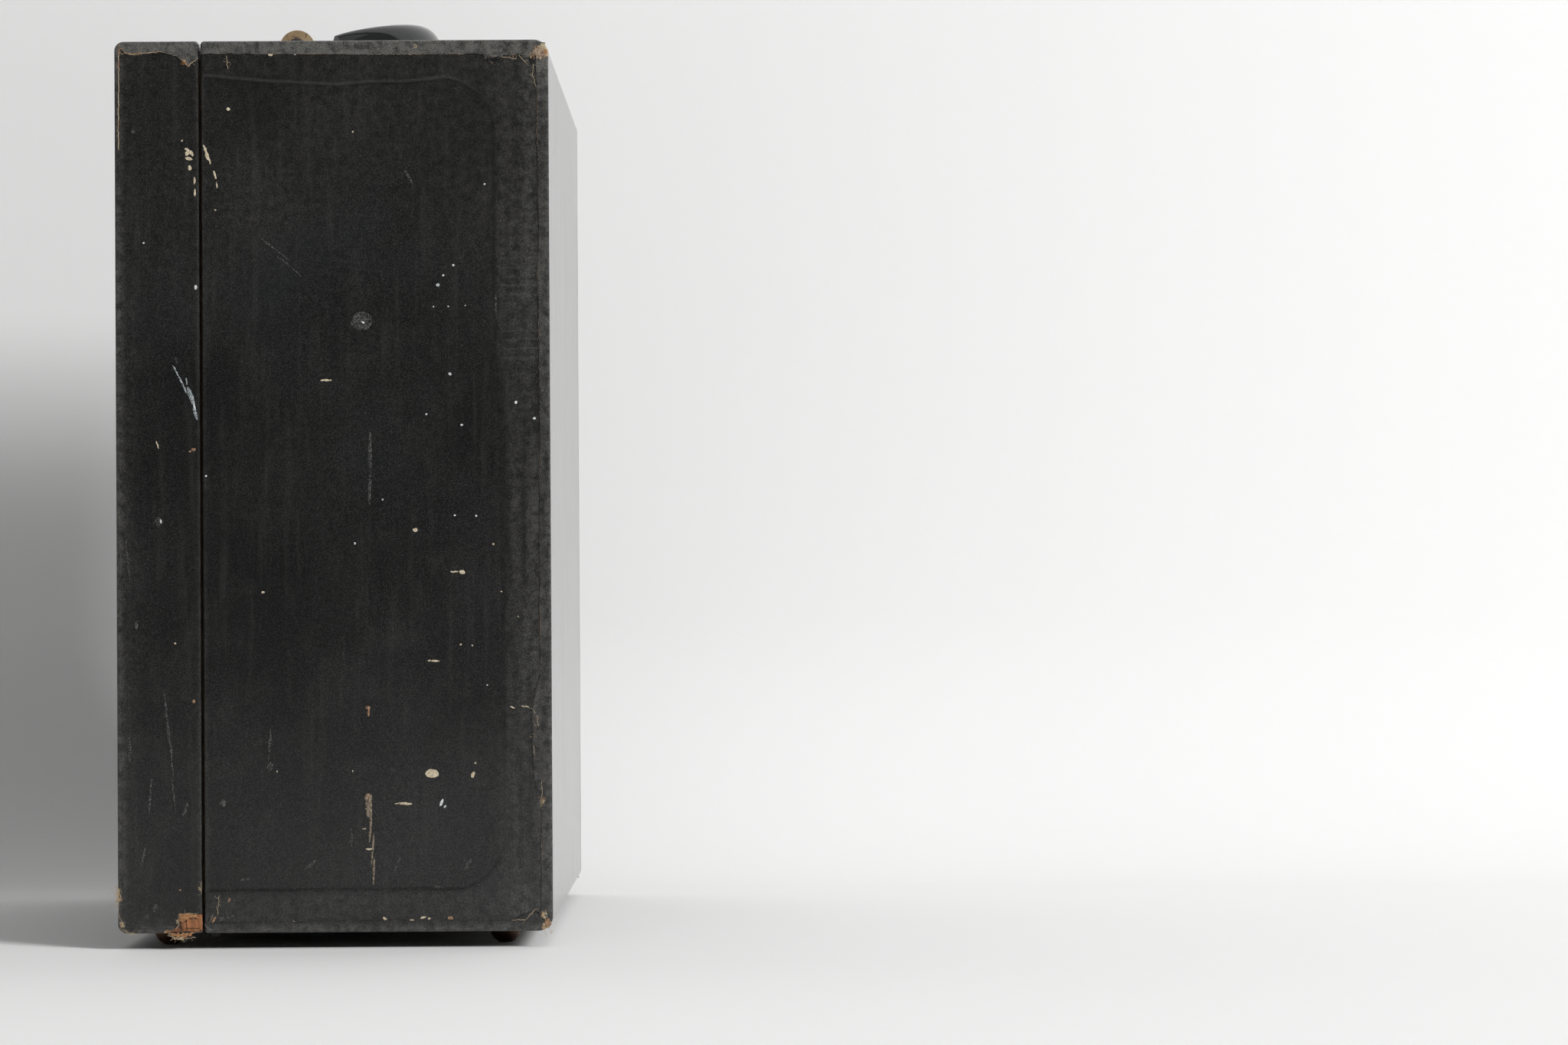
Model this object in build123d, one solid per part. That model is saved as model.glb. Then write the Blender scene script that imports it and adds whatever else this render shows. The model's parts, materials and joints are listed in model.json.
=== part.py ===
from build123d import *
from math import asin, cos, degrees, radians, sin
import os

# A carrying case for a portable typewriter.
# It has a shallow base tray and a deep hinged lid, of board under leathercloth.
# It is drawn closed and standing on its back wall.
# X runs from the base to the lid, Y along the width, Z up to the handle.
# The origin is on the floor under the middle of the case, and every size is in millimetres.
# The right end is at -Y and the left end at +Y, as seen by someone at the handle with the lid on top.

# Closed case
case_width = 362.0
case_depth = 382.0
base_height = 36.0
lid_height = 149.0
seam_gap = 1.0
foot_height = 7.0

# Boards and what covers them
panel_board = 5.0
wall_board = 6.0
end_board = 9.0
covering = 0.8
end_covering = 0.6
lining = 0.6
lap_width = 5.5
lap_gap = 0.2
base_corner_radius = 4.0
lid_corner_radius = 6.3
rim_radius = 1.5
end_edge_radius = 1.0

# Glue battens inside the corners
lid_batten = 12.0
base_batten = 9.0
batten_bevel = 3.0

# Tongue that the lid drops over
tongue_thickness = 3.0
tongue_rise = 8.0
tongue_seat = 11.0
tongue_lead = 1.0
tongue_headroom = 3.0

# Studs that the case stands on
foot_radius = 6.9
foot_flat_radius = 2.4
foot_inset = 35.0
base_foot_from_face = 18.5
lid_foot_from_face = 22.0
foot_tack_radius = 1.2
foot_tack_depth = 5.0

# Hinges
hinge_length = 50.0
hinge_to_foot = 9.1
hinge_drop = 3.0
hinge_knuckles = 5
knuckle_radius = 2.5
knuckle_gap = 0.3
hinge_pin_radius = 1.25
hinge_pin_head = 0.8
pin_clearance = 0.05
leaf_thickness = 1.2
leaf_reach = 20.0
leaf_screw_reach = 12.0
leaf_screw_spacing = 17.0

# Small fasteners
screw_head_radius = 2.6
screw_shank_radius = 1.3
screw_head_height = 1.2
screw_depth = 6.0
rivet_radius = 1.2
rivet_head_radius = 2.3
rivet_head_height = 1.0
rivet_depth = 4.5
hole_clearance = 0.05

# Latches on the front wall
latch_to_lug = 1.0
lock_length = 26.0
lock_breadth = 23.5
lock_height = 3.5
lock_wall = 0.8
lock_top = 1.0
lock_corner_radius = 2.5
lock_from_rim = 3.5
lock_ear_reach = 19.0
lock_ear_breadth = 9.0
lock_ear_thickness = 1.0
lock_rivet_offset = 16.0
bolt_thickness = 0.8
bolt_travel = 4.0
bolt_clearance = 0.1
button_length = 7.0
button_breadth = 6.0
button_height = 1.9
button_stem = 3.0
button_groove = 0.8
hasp_width = 22.0
hasp_tip_width = 17.0
hasp_thickness = 1.0
hasp_reach = 26.0
hasp_from_rim = 10.0
hasp_neck_width = 10.0
hasp_knuckle_radius = 1.9
hasp_pin_radius = 0.9
hasp_pin_overhang = 0.6
hasp_sprung_angle = 9.0
hasp_plate_length = 18.0
hasp_plate_width = 24.0
hasp_plate_thickness = 1.0
hasp_rivet_spacing = 16.0
spring_thickness = 0.4
spring_width = 7.0
spring_root = 7.0
spring_margin = 1.5
spring_rise = 2.3
tongue_hook_width = 8.0
tongue_hook_setback = 4.0
tongue_hook_length = 2.0
tongue_hook_thickness = 0.7
latch_gap = 0.3

# Handle
handle_from_base_face = 69.0
handle_half_span = 71.0
pivot_height = 8.4
lug_radius = 8.0
lug_width = 10.0
lug_flange_length = 32.0
lug_flange_width = 12.0
lug_flange_thickness = 1.6
lug_blend_radius = 2.0
lug_bolt_spacing = 26.0
lug_bolt_radius = 1.6
lug_bolt_head_radius = 2.8
lug_bolt_head_height = 1.4
backing_plate_length = 34.0
backing_plate_width = 14.0
backing_plate_thickness = 1.5
peg_radius = 3.0
peg_clearance = 0.05
peg_head_radius = 4.2
peg_head_height = 1.2
arch_height = 52.0
elbow_gap = 0.6
grip_width = 24.0
grip_thickness = 18.0
grip_end_width = 12.0
grip_end_thickness = 9.0
grip_end_angle = 64.0
grip_sections = 9
grip_fullness = 0.7
grip_rest_angle = 6.0

# Hold-downs for the machine, on the base panel
hook_offset = 110.0
hook_from_back = 58.0
hook_width = 18.0
hook_thickness = 2.0
hook_foot = 28.0
hook_height = 18.0
hook_lip = 9.0
hook_screw_spacing = 12.0
hook_bend_radius = 2.5
clip_offset = 110.0
clip_from_front = 60.0
clip_length = 38.0
clip_width = 14.0
clip_thickness = 2.5
clip_level = 12.0
clip_play = 0.1
post_radius = 7.0
post_shank_radius = 3.0
post_head_radius = 6.0
post_head_height = 2.2
post_tack_radius = 1.6
post_tack_depth = 4.0
pad_radius = 14.0
pad_thickness = 4.0
pad_offset = 105.0
pad_from_back = 120.0
pad_to_clip = 32.0

# Places that follow from the sizes above
case_height = base_height + seam_gap + lid_height
base_face = -case_height / 2
lid_face = case_height / 2
base_rim = base_face + base_height
lid_rim = base_rim + seam_gap
seam = (base_rim + lid_rim) / 2
back_face = foot_height
front_face = foot_height + case_depth
end_face = case_width / 2
back_inside = back_face + covering + wall_board
front_inside = front_face - covering - wall_board
end_outside = end_face - covering
end_inside = end_outside - end_board
base_inside = base_face + covering + panel_board
lid_inside = lid_face - covering - panel_board
base_floor = base_inside + lining
hinge_level = back_face - hinge_drop
hinge_offset = end_face - foot_inset - foot_radius - hinge_to_foot - hinge_length / 2
clip_z = front_face - clip_from_front
sides = (-1, 1)
side_names = {-1: "right", 1: "left"}
far = case_width + case_depth


def block(x0, x1, y0, y1, z0, z1):
    # A box between two values along each axis, given in either order.
    centre = Pos((x0 + x1) / 2, (y0 + y1) / 2, (z0 + z1) / 2)
    return centre * Box(abs(x1 - x0), abs(y1 - y0), abs(z1 - z0))


def away(face, rim):
    # The direction along X that leads from a half's panel to its rim.
    return 1 if rim > face else -1


def cylinder(radius, start, end):
    # A round bar between two points.
    axis = Vector(*end) - Vector(*start)
    return extrude(Plane(origin=start, z_dir=axis) * Circle(radius), axis.length)


def save(name, *solids):
    parts = []
    for solid in solids:
        parts.extend(solid.solids())
    export_step(Compound(children=parts), f"parts/{name}.step")


def drilled(body, tools):
    for tool in tools:
        body = body - tool
    return body


# Fasteners, made with their heads at the origin and their shanks along -Z, then set on a face


def countersunk_screw(spare):
    head = Pos(0, 0, -screw_head_height / 2) * Cone(
        screw_shank_radius + spare, screw_head_radius + spare, screw_head_height
    )
    shank = Pos(0, 0, -(screw_head_height + screw_depth) / 2) * Cylinder(
        screw_shank_radius + spare, screw_depth + screw_head_height
    )
    return head + shank


def domed_head(radius, height):
    # A shallow spherical cap standing on the XY plane.
    ball = (radius * radius + height * height) / (2 * height)
    cap = Pos(0, 0, height - ball) * Sphere(ball)
    return cap & (Pos(0, 0, height) * Box(far, far, 2 * height))


def rivet_shank(radius, depth, spare):
    return Pos(0, 0, -depth / 2) * Cylinder(radius + spare, depth)


def rivet():
    return domed_head(rivet_head_radius, rivet_head_height) + rivet_shank(rivet_radius, rivet_depth, 0)


def on_face(point, outward):
    return Plane(origin=point, z_dir=outward).location


# Shell of each half


def half_bar(face, rim, corner_radius, inset, reach):
    # The outline of one half, seen along Y and drawn in by inset, as a bar that ends at -reach and +reach.
    toward = away(face, rim)
    x_face = face + toward * inset
    x_rim = rim - toward * inset
    centre = Pos((x_face + x_rim) / 2, (back_face + front_face) / 2)
    section = centre * Rectangle(abs(x_rim - x_face), case_depth - 2 * inset)
    by_x = section.vertices().group_by(Axis.X)
    face_corners = by_x[0] if toward > 0 else by_x[-1]
    section = fillet(face_corners, corner_radius - inset)
    by_x = section.vertices().group_by(Axis.X)
    rim_corners = by_x[-1] if toward > 0 else by_x[0]
    section = fillet(rim_corners, rim_radius)
    return extrude(Plane.XZ * section, reach, both=True)


def wrap_covering(face, rim, corner_radius):
    # One sheet over the front wall, panel and back wall, turned over the rim and lapped onto both ends.
    toward = away(face, rim)
    outside = half_bar(face, rim, corner_radius, 0, end_face)
    end_edges = outside.edges().group_by(Axis.Y)[0] + outside.edges().group_by(Axis.Y)[-1]
    outside = fillet(end_edges, end_edge_radius)
    boards = half_bar(face, rim, corner_radius, covering, end_outside)
    hollow = block(
        face + toward * (covering + panel_board), rim + toward * seam_gap,
        -end_outside, end_outside, back_inside, front_inside,
    )
    ends = block(
        face + toward * lap_width, rim + toward * seam_gap,
        -far, far, back_face + lap_width, front_face - lap_width,
    )
    return outside - boards - hollow - (ends - block(-far, far, -end_outside, end_outside, -far, far))


def panel(face, rim, corner_radius):
    toward = away(face, rim)
    boards = half_bar(face, rim, corner_radius, covering, end_outside)
    return boards & block(face, face + toward * (covering + panel_board), -far, far, -far, far)


def wall(face, rim, corner_radius, z_inside, z_outside):
    toward = away(face, rim)
    boards = half_bar(face, rim, corner_radius, covering, end_outside)
    return boards & block(face + toward * (covering + panel_board), rim, -far, far, z_inside, z_outside)


def end(face, rim, side):
    toward = away(face, rim)
    return block(
        face + toward * (covering + panel_board), rim - toward * covering,
        side * end_inside, side * end_outside, back_inside, front_inside,
    )


def end_sheet(face, rim, side):
    # The piece glued on an end between the laps, turned over the end board's rim.
    toward = away(face, rim)
    margin = lap_width + lap_gap
    sheet = block(
        face + toward * margin, rim,
        side * end_outside, side * (end_outside + end_covering),
        back_face + margin, front_face - margin,
    )
    turned = block(
        rim - toward * covering, rim,
        side * end_inside, side * end_outside, back_inside, front_inside,
    )
    return sheet + turned


def batten(x0, x1, y0, y1, z0, z1, bevelled_corner):
    # A square strip with a bevel on the one long edge that shows.
    strip = block(x0, x1, y0, y1, z0, z1)
    long_axis = max((Axis.X, x1 - x0), (Axis.Y, y1 - y0), (Axis.Z, z1 - z0), key=lambda pair: abs(pair[1]))[0]
    edge = strip.edges().filter_by(long_axis).sort_by_distance(bevelled_corner)[0]
    return chamfer(edge, batten_bevel)


def panel_battens(inside, toward, size):
    # Strips in the angles between the panel and the four walls.
    x0, x1 = sorted((inside, inside + toward * size))
    top = inside + toward * size
    strips = []
    for wall_face, inward in ((back_inside, 1), (front_inside, -1)):
        z0, z1 = sorted((wall_face, wall_face + inward * size))
        corner = (top, 0, wall_face + inward * size)
        strips.append(batten(x0, x1, -end_inside, end_inside, z0, z1, corner))
    for side in sides:
        y0, y1 = sorted((side * (end_inside - size), side * end_inside))
        corner = (top, side * (end_inside - size), case_depth / 2)
        strips.append(batten(x0, x1, y0, y1, back_inside + size, front_inside - size, corner))
    return strips


def lid_posts():
    # Strips in the four upright corners of the lid, above the tongue.
    x0 = lid_rim + tongue_rise + tongue_headroom
    x1 = lid_inside - lid_batten
    posts = []
    for side in sides:
        for wall_face, inward in ((back_inside, 1), (front_inside, -1)):
            y0, y1 = sorted((side * (end_inside - lid_batten), side * end_inside))
            z0, z1 = sorted((wall_face, wall_face + inward * lid_batten))
            corner = (0, side * (end_inside - lid_batten), wall_face + inward * lid_batten)
            posts.append(batten(x0, x1, y0, y1, z0, z1, corner))
    return posts


def lining_sheets(inside, toward, panel_batten, corner_batten, x_stop):
    # Five sheets glued inside a half, cut to lie between its battens.
    x_start = inside + toward * panel_batten
    y_floor = end_inside - panel_batten
    y_wall = end_inside - corner_batten
    z_low = back_inside + corner_batten
    z_high = front_inside - corner_batten
    if corner_batten == 0:
        z_low = z_low + lining
        z_high = z_high - lining
    sheets = [block(
        inside, inside + toward * lining, -y_floor, y_floor,
        back_inside + panel_batten, front_inside - panel_batten,
    )]
    sheets.append(block(x_start, x_stop, -y_wall, y_wall, back_inside, back_inside + lining))
    sheets.append(block(x_start, x_stop, -y_wall, y_wall, front_inside - lining, front_inside))
    for side in sides:
        sheets.append(block(x_start, x_stop, side * (end_inside - lining), side * end_inside, z_low, z_high))
    return sheets


def tongue_frame():
    # Four strips standing on the base's lining, which sets how much room they have inside the lid.
    x0 = base_rim - tongue_seat
    x1 = base_rim + tongue_rise
    y_out = end_inside - lining
    strips = []
    for z_out, inward in ((back_inside + lining, 1), (front_inside - lining, -1)):
        z_in = z_out + inward * tongue_thickness
        strip = block(x0, x1, -y_out, y_out, z_out, z_in)
        edge = strip.edges().filter_by(Axis.Y).sort_by_distance((x1, 0, z_out))[0]
        strips.append(chamfer(edge, tongue_lead))
    for side in sides:
        strip = block(
            x0, x1, side * (y_out - tongue_thickness), side * y_out,
            back_inside + lining + tongue_thickness, front_inside - lining - tongue_thickness,
        )
        edge = strip.edges().filter_by(Axis.Z).sort_by_distance((x1, side * y_out, case_depth / 2))[0]
        strips.append(chamfer(edge, tongue_lead))
    return strips


# Studs under the back wall


def foot_tack(spare):
    depth = covering + foot_tack_depth
    return Pos(0, 0, -depth / 2) * Cylinder(foot_tack_radius + spare, depth)


def foot():
    # A pressed dome with a small worn flat, and the tack that holds it.
    flat = foot_flat_radius
    height = foot_height
    ball = ((foot_radius**2 - flat**2 - height**2) / (2 * height))
    radius = (foot_radius**2 + ball**2) ** 0.5
    dome = (Pos(0, 0, -ball) * Sphere(radius)) & (Pos(0, 0, height / 2) * Box(far, far, height))
    return dome + foot_tack(0)


def foot_places(from_face):
    return [on_face((from_face, side * (end_face - foot_inset), back_face), (0, 0, -1)) for side in sides]


base_foot_places = foot_places(base_face + base_foot_from_face)
lid_foot_places = foot_places(lid_face - lid_foot_from_face)


# Hinges under the back wall


def leaf_screw_places(toward):
    places = []
    for side in sides:
        for step in (-1, 0, 1):
            x = seam + toward * leaf_screw_reach
            y = side * hinge_offset + step * leaf_screw_spacing
            places.append(on_face((x, y, back_face - leaf_thickness), (0, 0, -1)))
    return places


def knuckle_spans(centre, first):
    # The stretches of the hinge that belong to one leaf: every other knuckle, counted from first.
    pitch = hinge_length / hinge_knuckles
    spans = []
    for index in range(first, hinge_knuckles, 2):
        low = centre - hinge_length / 2 + index * pitch + knuckle_gap / 2
        spans.append((low, low + pitch - knuckle_gap))
    return spans


def hinge_leaf(centre, toward, first):
    own = knuckle_spans(centre, first)
    other = knuckle_spans(centre, 1 - first)
    low = centre - hinge_length / 2 + knuckle_gap / 2
    high = centre + hinge_length / 2 - knuckle_gap / 2
    leaf = block(seam, seam + toward * leaf_reach, low, high, back_face - leaf_thickness, back_face)
    corners = leaf.edges().filter_by(Axis.Z).group_by(Axis.X)[-1 if toward > 0 else 0]
    leaf = fillet(corners, knuckle_radius)
    room = knuckle_radius + knuckle_gap
    for y0, y1 in other:
        leaf = leaf - block(seam - room, seam + room, y0 - knuckle_gap, y1 + knuckle_gap, -far, far)
    for y0, y1 in own:
        leaf = leaf + cylinder(knuckle_radius, (seam, y0, hinge_level), (seam, y1, hinge_level))
    bore = hinge_pin_radius + pin_clearance
    leaf = leaf - cylinder(bore, (seam, low - room, hinge_level), (seam, high + room, hinge_level))
    return drilled(leaf, [place * countersunk_screw(hole_clearance) for place in leaf_screw_places(toward)])


def hinge_pin(centre):
    half = hinge_length / 2 + knuckle_gap
    pin = cylinder(hinge_pin_radius, (seam, centre - half, hinge_level), (seam, centre + half, hinge_level))
    for way in (-1, 1):
        inner = (seam, centre + way * half, hinge_level)
        outer = (seam, centre + way * (half + hinge_pin_head), hinge_level)
        pin = pin + cylinder(hinge_pin_radius + knuckle_gap, inner, outer)
    return pin


# Latches: a cased bolt with a thumb button on the base, and a sprung hasp on the lid

latch_offset = handle_half_span + lug_flange_width / 2 + latch_to_lug + hasp_plate_width / 2
lock_near_seam = base_rim - lock_from_rim
lock_far_side = lock_near_seam - lock_breadth
lock_middle = (lock_near_seam + lock_far_side) / 2
hasp_pivot_x = lid_rim + hasp_from_rim
hasp_rivet_x = hasp_pivot_x - hasp_knuckle_radius + hasp_plate_length - hasp_plate_width / 4
hasp_pivot_height = lock_height + bolt_clearance + hasp_thickness - hasp_knuckle_radius
hasp_tip = hasp_pivot_x - hasp_reach
hook_leg = hasp_tip + tongue_hook_setback + tongue_hook_length - hasp_thickness
hook_level = tongue_hook_thickness
bolt_level = lock_height - lock_top - bolt_clearance
bolt_nose = hook_leg - latch_gap
bolt_back = lock_far_side + lock_wall + 3 * latch_gap
button_x = bolt_back + button_breadth / 2
button_out = lock_length / 2 - lock_wall - button_length / 2 - latch_gap


def latch_frame(side):
    # The local frame of one latch: X as the case, Y outward to the nearer end, Z off the front wall.
    return Pos(0, side * latch_offset, front_face)


def outward(side, low, high):
    return sorted((side * low, side * high))


def latch_block(side, x0, x1, low, high, z0, z1):
    y0, y1 = outward(side, low, high)
    return block(x0, x1, y0, y1, z0, z1)


def lock_case(side):
    half = lock_length / 2
    box = block(lock_far_side, lock_near_seam, -half, half, 0, lock_height)
    box = fillet(box.edges().filter_by(Axis.Z), lock_corner_radius)
    box = fillet(box.faces().sort_by(Axis.Z)[-1].edges(), lock_wall)
    ears = Pos(lock_middle, 0) * Rot(0, 0, 90) * SlotOverall(2 * lock_ear_reach, lock_ear_breadth)
    box = box + extrude(ears, lock_ear_thickness)
    pocket = block(
        lock_far_side + lock_wall, lock_near_seam - lock_wall,
        -half + lock_wall, half - lock_wall, 0, lock_height - lock_top,
    )
    box = box - pocket
    hook_half = tongue_hook_width / 2 + 2 * latch_gap
    hook_slot = block(
        hook_leg - tongue_hook_length - 2 * latch_gap, hook_leg + hasp_thickness + 2 * latch_gap,
        -hook_half, hook_half, 0, lock_height,
    )
    stem_half = button_stem / 2 + latch_gap
    stem_slot = latch_block(
        side, button_x - stem_half, button_x + stem_half,
        button_out - bolt_travel - stem_half, button_out + stem_half, 0, lock_height,
    )
    box = box - hook_slot - stem_slot
    placed = latch_frame(side) * box
    return drilled(placed, [place * rivet_shank(rivet_radius, rivet_depth, hole_clearance)
                            for place in lock_rivet_places(side)])


def lock_slide(side):
    # The bolt runs under the case's top, and its stem carries the thumb button. It is drawn unlocked.
    low = button_out - button_length / 2
    high = button_out + button_length / 2
    bolt = latch_block(side, bolt_back, bolt_nose, low, high, bolt_level - bolt_thickness, bolt_level)
    stem = latch_block(
        side, button_x - button_stem / 2, button_x + button_stem / 2,
        button_out - button_stem / 2, button_out + button_stem / 2,
        bolt_level, lock_height + bolt_clearance,
    )
    button = latch_block(
        side, button_x - button_breadth / 2, button_x + button_breadth / 2, low, high,
        lock_height + bolt_clearance, lock_height + bolt_clearance + button_height,
    )
    button = fillet(button.edges().filter_by(Axis.Z), 3 * latch_gap)
    button = fillet(button.faces().sort_by(Axis.Z)[-1].edges(), 2 * latch_gap)
    level = lock_height + bolt_clearance + button_height
    for step in (-1, 0, 1):
        y = side * (button_out + step * button_length / 4)
        button = button - Pos(button_x, y, level) * Box(far, button_groove, button_groove)
    return latch_frame(side) * (bolt + stem + button)


def hasp(side):
    # A tapered plate with a curled knuckle at the lid and a bent hook near its tip, lifted by its spring.
    top = hasp_pivot_height + hasp_knuckle_radius
    under = top - hasp_thickness
    wide_from = hasp_pivot_x - hasp_knuckle_radius - 2 * latch_gap
    outline = Polygon(
        (wide_from, -hasp_width / 2), (wide_from, hasp_width / 2),
        (hasp_tip, hasp_tip_width / 2), (hasp_tip, -hasp_tip_width / 2),
        align=None,
    )
    outline = fillet(outline.vertices(), lock_corner_radius)
    neck = Pos((wide_from + hasp_pivot_x) / 2 - lock_corner_radius / 2, 0) * Rectangle(
        hasp_pivot_x - wide_from + lock_corner_radius, hasp_neck_width
    )
    plate = extrude(Pos(0, 0, under) * (outline + neck), hasp_thickness)
    half = hasp_neck_width / 2
    pivot_start = (hasp_pivot_x, -half, hasp_pivot_height)
    pivot_end = (hasp_pivot_x, half, hasp_pivot_height)
    knuckle = cylinder(hasp_knuckle_radius, pivot_start, pivot_end)
    leg = block(
        hook_leg, hook_leg + hasp_thickness, -tongue_hook_width / 2, tongue_hook_width / 2,
        hook_level, under,
    )
    foot_of_hook = block(
        hook_leg - tongue_hook_length, hook_leg + hasp_thickness,
        -tongue_hook_width / 2, tongue_hook_width / 2,
        hook_level, hook_level + tongue_hook_thickness,
    )
    flat = plate + knuckle + leg + foot_of_hook
    flat = flat - cylinder(hasp_pin_radius + pin_clearance, pivot_start, pivot_end)
    pivot = Axis((hasp_pivot_x, 0, hasp_pivot_height), (0, 1, 0))
    return latch_frame(side) * flat.rotate(pivot, hasp_sprung_angle)


def hasp_rivet_places(side):
    z = front_face + hasp_plate_thickness + spring_thickness
    offsets = [side * latch_offset + way * hasp_rivet_spacing / 2 for way in (-1, 1)]
    return [on_face((hasp_rivet_x, y, z), (0, 0, 1)) for y in offsets]


def lock_rivet_places(side):
    z = front_face + lock_ear_thickness
    offsets = [side * latch_offset + way * lock_rivet_offset for way in (-1, 1)]
    return [on_face((lock_middle, y, z), (0, 0, 1)) for y in offsets]


def hasp_plate(side):
    # The lid's half of the latch hinge: a flat plate with a knuckle each side of the hasp's own.
    x0 = hasp_pivot_x - hasp_knuckle_radius - 2 * latch_gap
    half = hasp_plate_width / 2
    plate = block(x0, x0 + hasp_plate_length, -half, half, 0, hasp_plate_thickness)
    far_corners = plate.edges().filter_by(Axis.Z).group_by(Axis.X)[-1]
    plate = fillet(far_corners, lock_corner_radius)
    inner = hasp_neck_width / 2 + latch_gap
    outer = hasp_width / 2 - latch_gap
    for way in (-1, 1):
        start = (hasp_pivot_x, way * inner, hasp_pivot_height)
        stop = (hasp_pivot_x, way * outer, hasp_pivot_height)
        root = block(
            hasp_pivot_x - hasp_knuckle_radius, hasp_pivot_x + hasp_knuckle_radius,
            way * inner, way * outer, 0, hasp_plate_thickness,
        )
        plate = plate + root + cylinder(hasp_knuckle_radius, start, stop)
    room = hasp_knuckle_radius + 2 * latch_gap
    window = block(hasp_pivot_x - 2 * room, hasp_pivot_x + room, -inner, inner, -far, far)
    reach = outer + latch_gap
    bore = cylinder(
        hasp_pin_radius + pin_clearance,
        (hasp_pivot_x, -reach, hasp_pivot_height), (hasp_pivot_x, reach, hasp_pivot_height),
    )
    plate = latch_frame(side) * (plate - window - bore)
    return drilled(plate, [place * rivet_shank(rivet_radius, rivet_depth, hole_clearance)
                           for place in hasp_rivet_places(side)])


def hasp_spring(side):
    # A leaf clamped under the plate's rivets, turned up at its free end to bear on the hasp's knuckle.
    low = hasp_plate_thickness
    high = low + spring_thickness
    tip_x = hasp_pivot_x + hasp_knuckle_radius + latch_gap
    bend_x = tip_x + spring_rise
    leaf = Polygon(
        (hasp_rivet_x, low), (hasp_rivet_x, high), (bend_x, high),
        (tip_x, hasp_pivot_height), (tip_x, hasp_pivot_height - spring_thickness),
        (bend_x - spring_thickness, low),
        align=None,
    )
    spring = extrude(Plane.XZ * leaf, spring_width / 2, both=True)
    half = hasp_plate_width / 2 - spring_margin
    root = block(
        hasp_rivet_x - spring_root / 2, hasp_rivet_x + spring_root / 2, -half, half, low, high,
    )
    root = fillet(root.edges().filter_by(Axis.Z), spring_margin)
    placed = latch_frame(side) * (spring + root)
    return drilled(placed, [place * rivet_shank(rivet_radius, rivet_depth, hole_clearance)
                            for place in hasp_rivet_places(side)])


def hasp_pin(side):
    half = hasp_width / 2 + hasp_pin_overhang
    pin = cylinder(
        hasp_pin_radius,
        (hasp_pivot_x, -half, hasp_pivot_height), (hasp_pivot_x, half, hasp_pivot_height),
    )
    return latch_frame(side) * pin


# Handle: two saddle lugs bolted through the lid, a steel core with pegs, and a moulded grip on it

handle_x = base_face + handle_from_base_face
arch_foot = handle_half_span - lug_width / 2 - peg_radius - elbow_gap
arch_radius = (arch_foot**2 + arch_height**2) / (2 * arch_height)
arch_centre = arch_height - arch_radius
peg_end = handle_half_span + lug_width / 2 + peg_head_height


def lug_bolt_places():
    places = []
    for side in sides:
        for way in (-1, 1):
            x = handle_x + way * lug_bolt_spacing / 2
            places.append(on_face((x, side * handle_half_span, front_face + lug_flange_thickness), (0, 0, 1)))
    return places


def lug_bolt_length():
    return lug_flange_thickness + covering + wall_board + lining + backing_plate_thickness


def handle_lug(side):
    # A saddle: a flat flange, and an arched body with the cross bore that the peg turns in.
    body = Pos(0, pivot_height) * Circle(lug_radius)
    body = body + Pos(0, pivot_height / 2) * Rectangle(2 * lug_radius, pivot_height)
    flange = Pos(0, lug_flange_thickness / 2) * Rectangle(lug_flange_length, lug_flange_thickness)
    section = body + flange
    roots = section.vertices().group_by(Axis.Y)[1].sort_by(Axis.X)[1:-1]
    section = fillet(roots, lug_blend_radius)
    saddle = extrude(Plane.XZ * section, lug_width / 2, both=True)
    ears = extrude(SlotOverall(lug_flange_length, lug_flange_width), lug_flange_thickness)
    ends = block(-far, -lug_flange_length / 2 + lug_flange_width / 2, -far, far, 0, far)
    saddle = saddle - (ends + ends.mirror(Plane.YZ)) + ears
    bore = cylinder(peg_radius + peg_clearance, (0, -lug_width, pivot_height), (0, lug_width, pivot_height))
    placed = Pos(handle_x, side * handle_half_span, front_face) * (saddle - bore)
    return drilled(placed, [place * rivet_shank(lug_bolt_radius, lug_bolt_length(), hole_clearance)
                            for place in lug_bolt_places()])


def lug_bolt():
    # A domed head outside, and a clenched head inside on the backing plate.
    head = domed_head(lug_bolt_head_radius, lug_bolt_head_height)
    inner = Pos(0, 0, -lug_bolt_length()) * Rot(180, 0, 0) * head
    return head + rivet_shank(lug_bolt_radius, lug_bolt_length(), 0) + inner


def backing_plate(side):
    z1 = front_inside - lining
    plate = block(
        handle_x - backing_plate_length / 2, handle_x + backing_plate_length / 2,
        side * handle_half_span - backing_plate_width / 2, side * handle_half_span + backing_plate_width / 2,
        z1 - backing_plate_thickness, z1,
    )
    plate = fillet(plate.edges().filter_by(Axis.Z), lug_blend_radius)
    return drilled(plate, [place * rivet_shank(lug_bolt_radius, far, hole_clearance)
                           for place in lug_bolt_places()])


def arch_point(angle):
    # A point of the bow, at an angle from its middle, with the handle upright and its pivot at the origin.
    return (0, arch_radius * sin(radians(angle)), arch_centre + arch_radius * cos(radians(angle)))


def laid_over(solid):
    # Turns the upright handle down towards the lid's panel, and puts it at its pivot.
    turned = solid.rotate(Axis.Y, 90 - grip_rest_angle)
    return Pos(handle_x, 0, front_face + pivot_height) * turned


def core_rod(spare):
    half_angle = degrees(asin(arch_foot / arch_radius))
    bow = ThreePointArc(arch_point(-half_angle), arch_point(0), arch_point(half_angle))
    profile = Plane(origin=bow @ 0, z_dir=bow % 0) * Circle(peg_radius + spare)
    return sweep(profile, path=bow)


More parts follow.
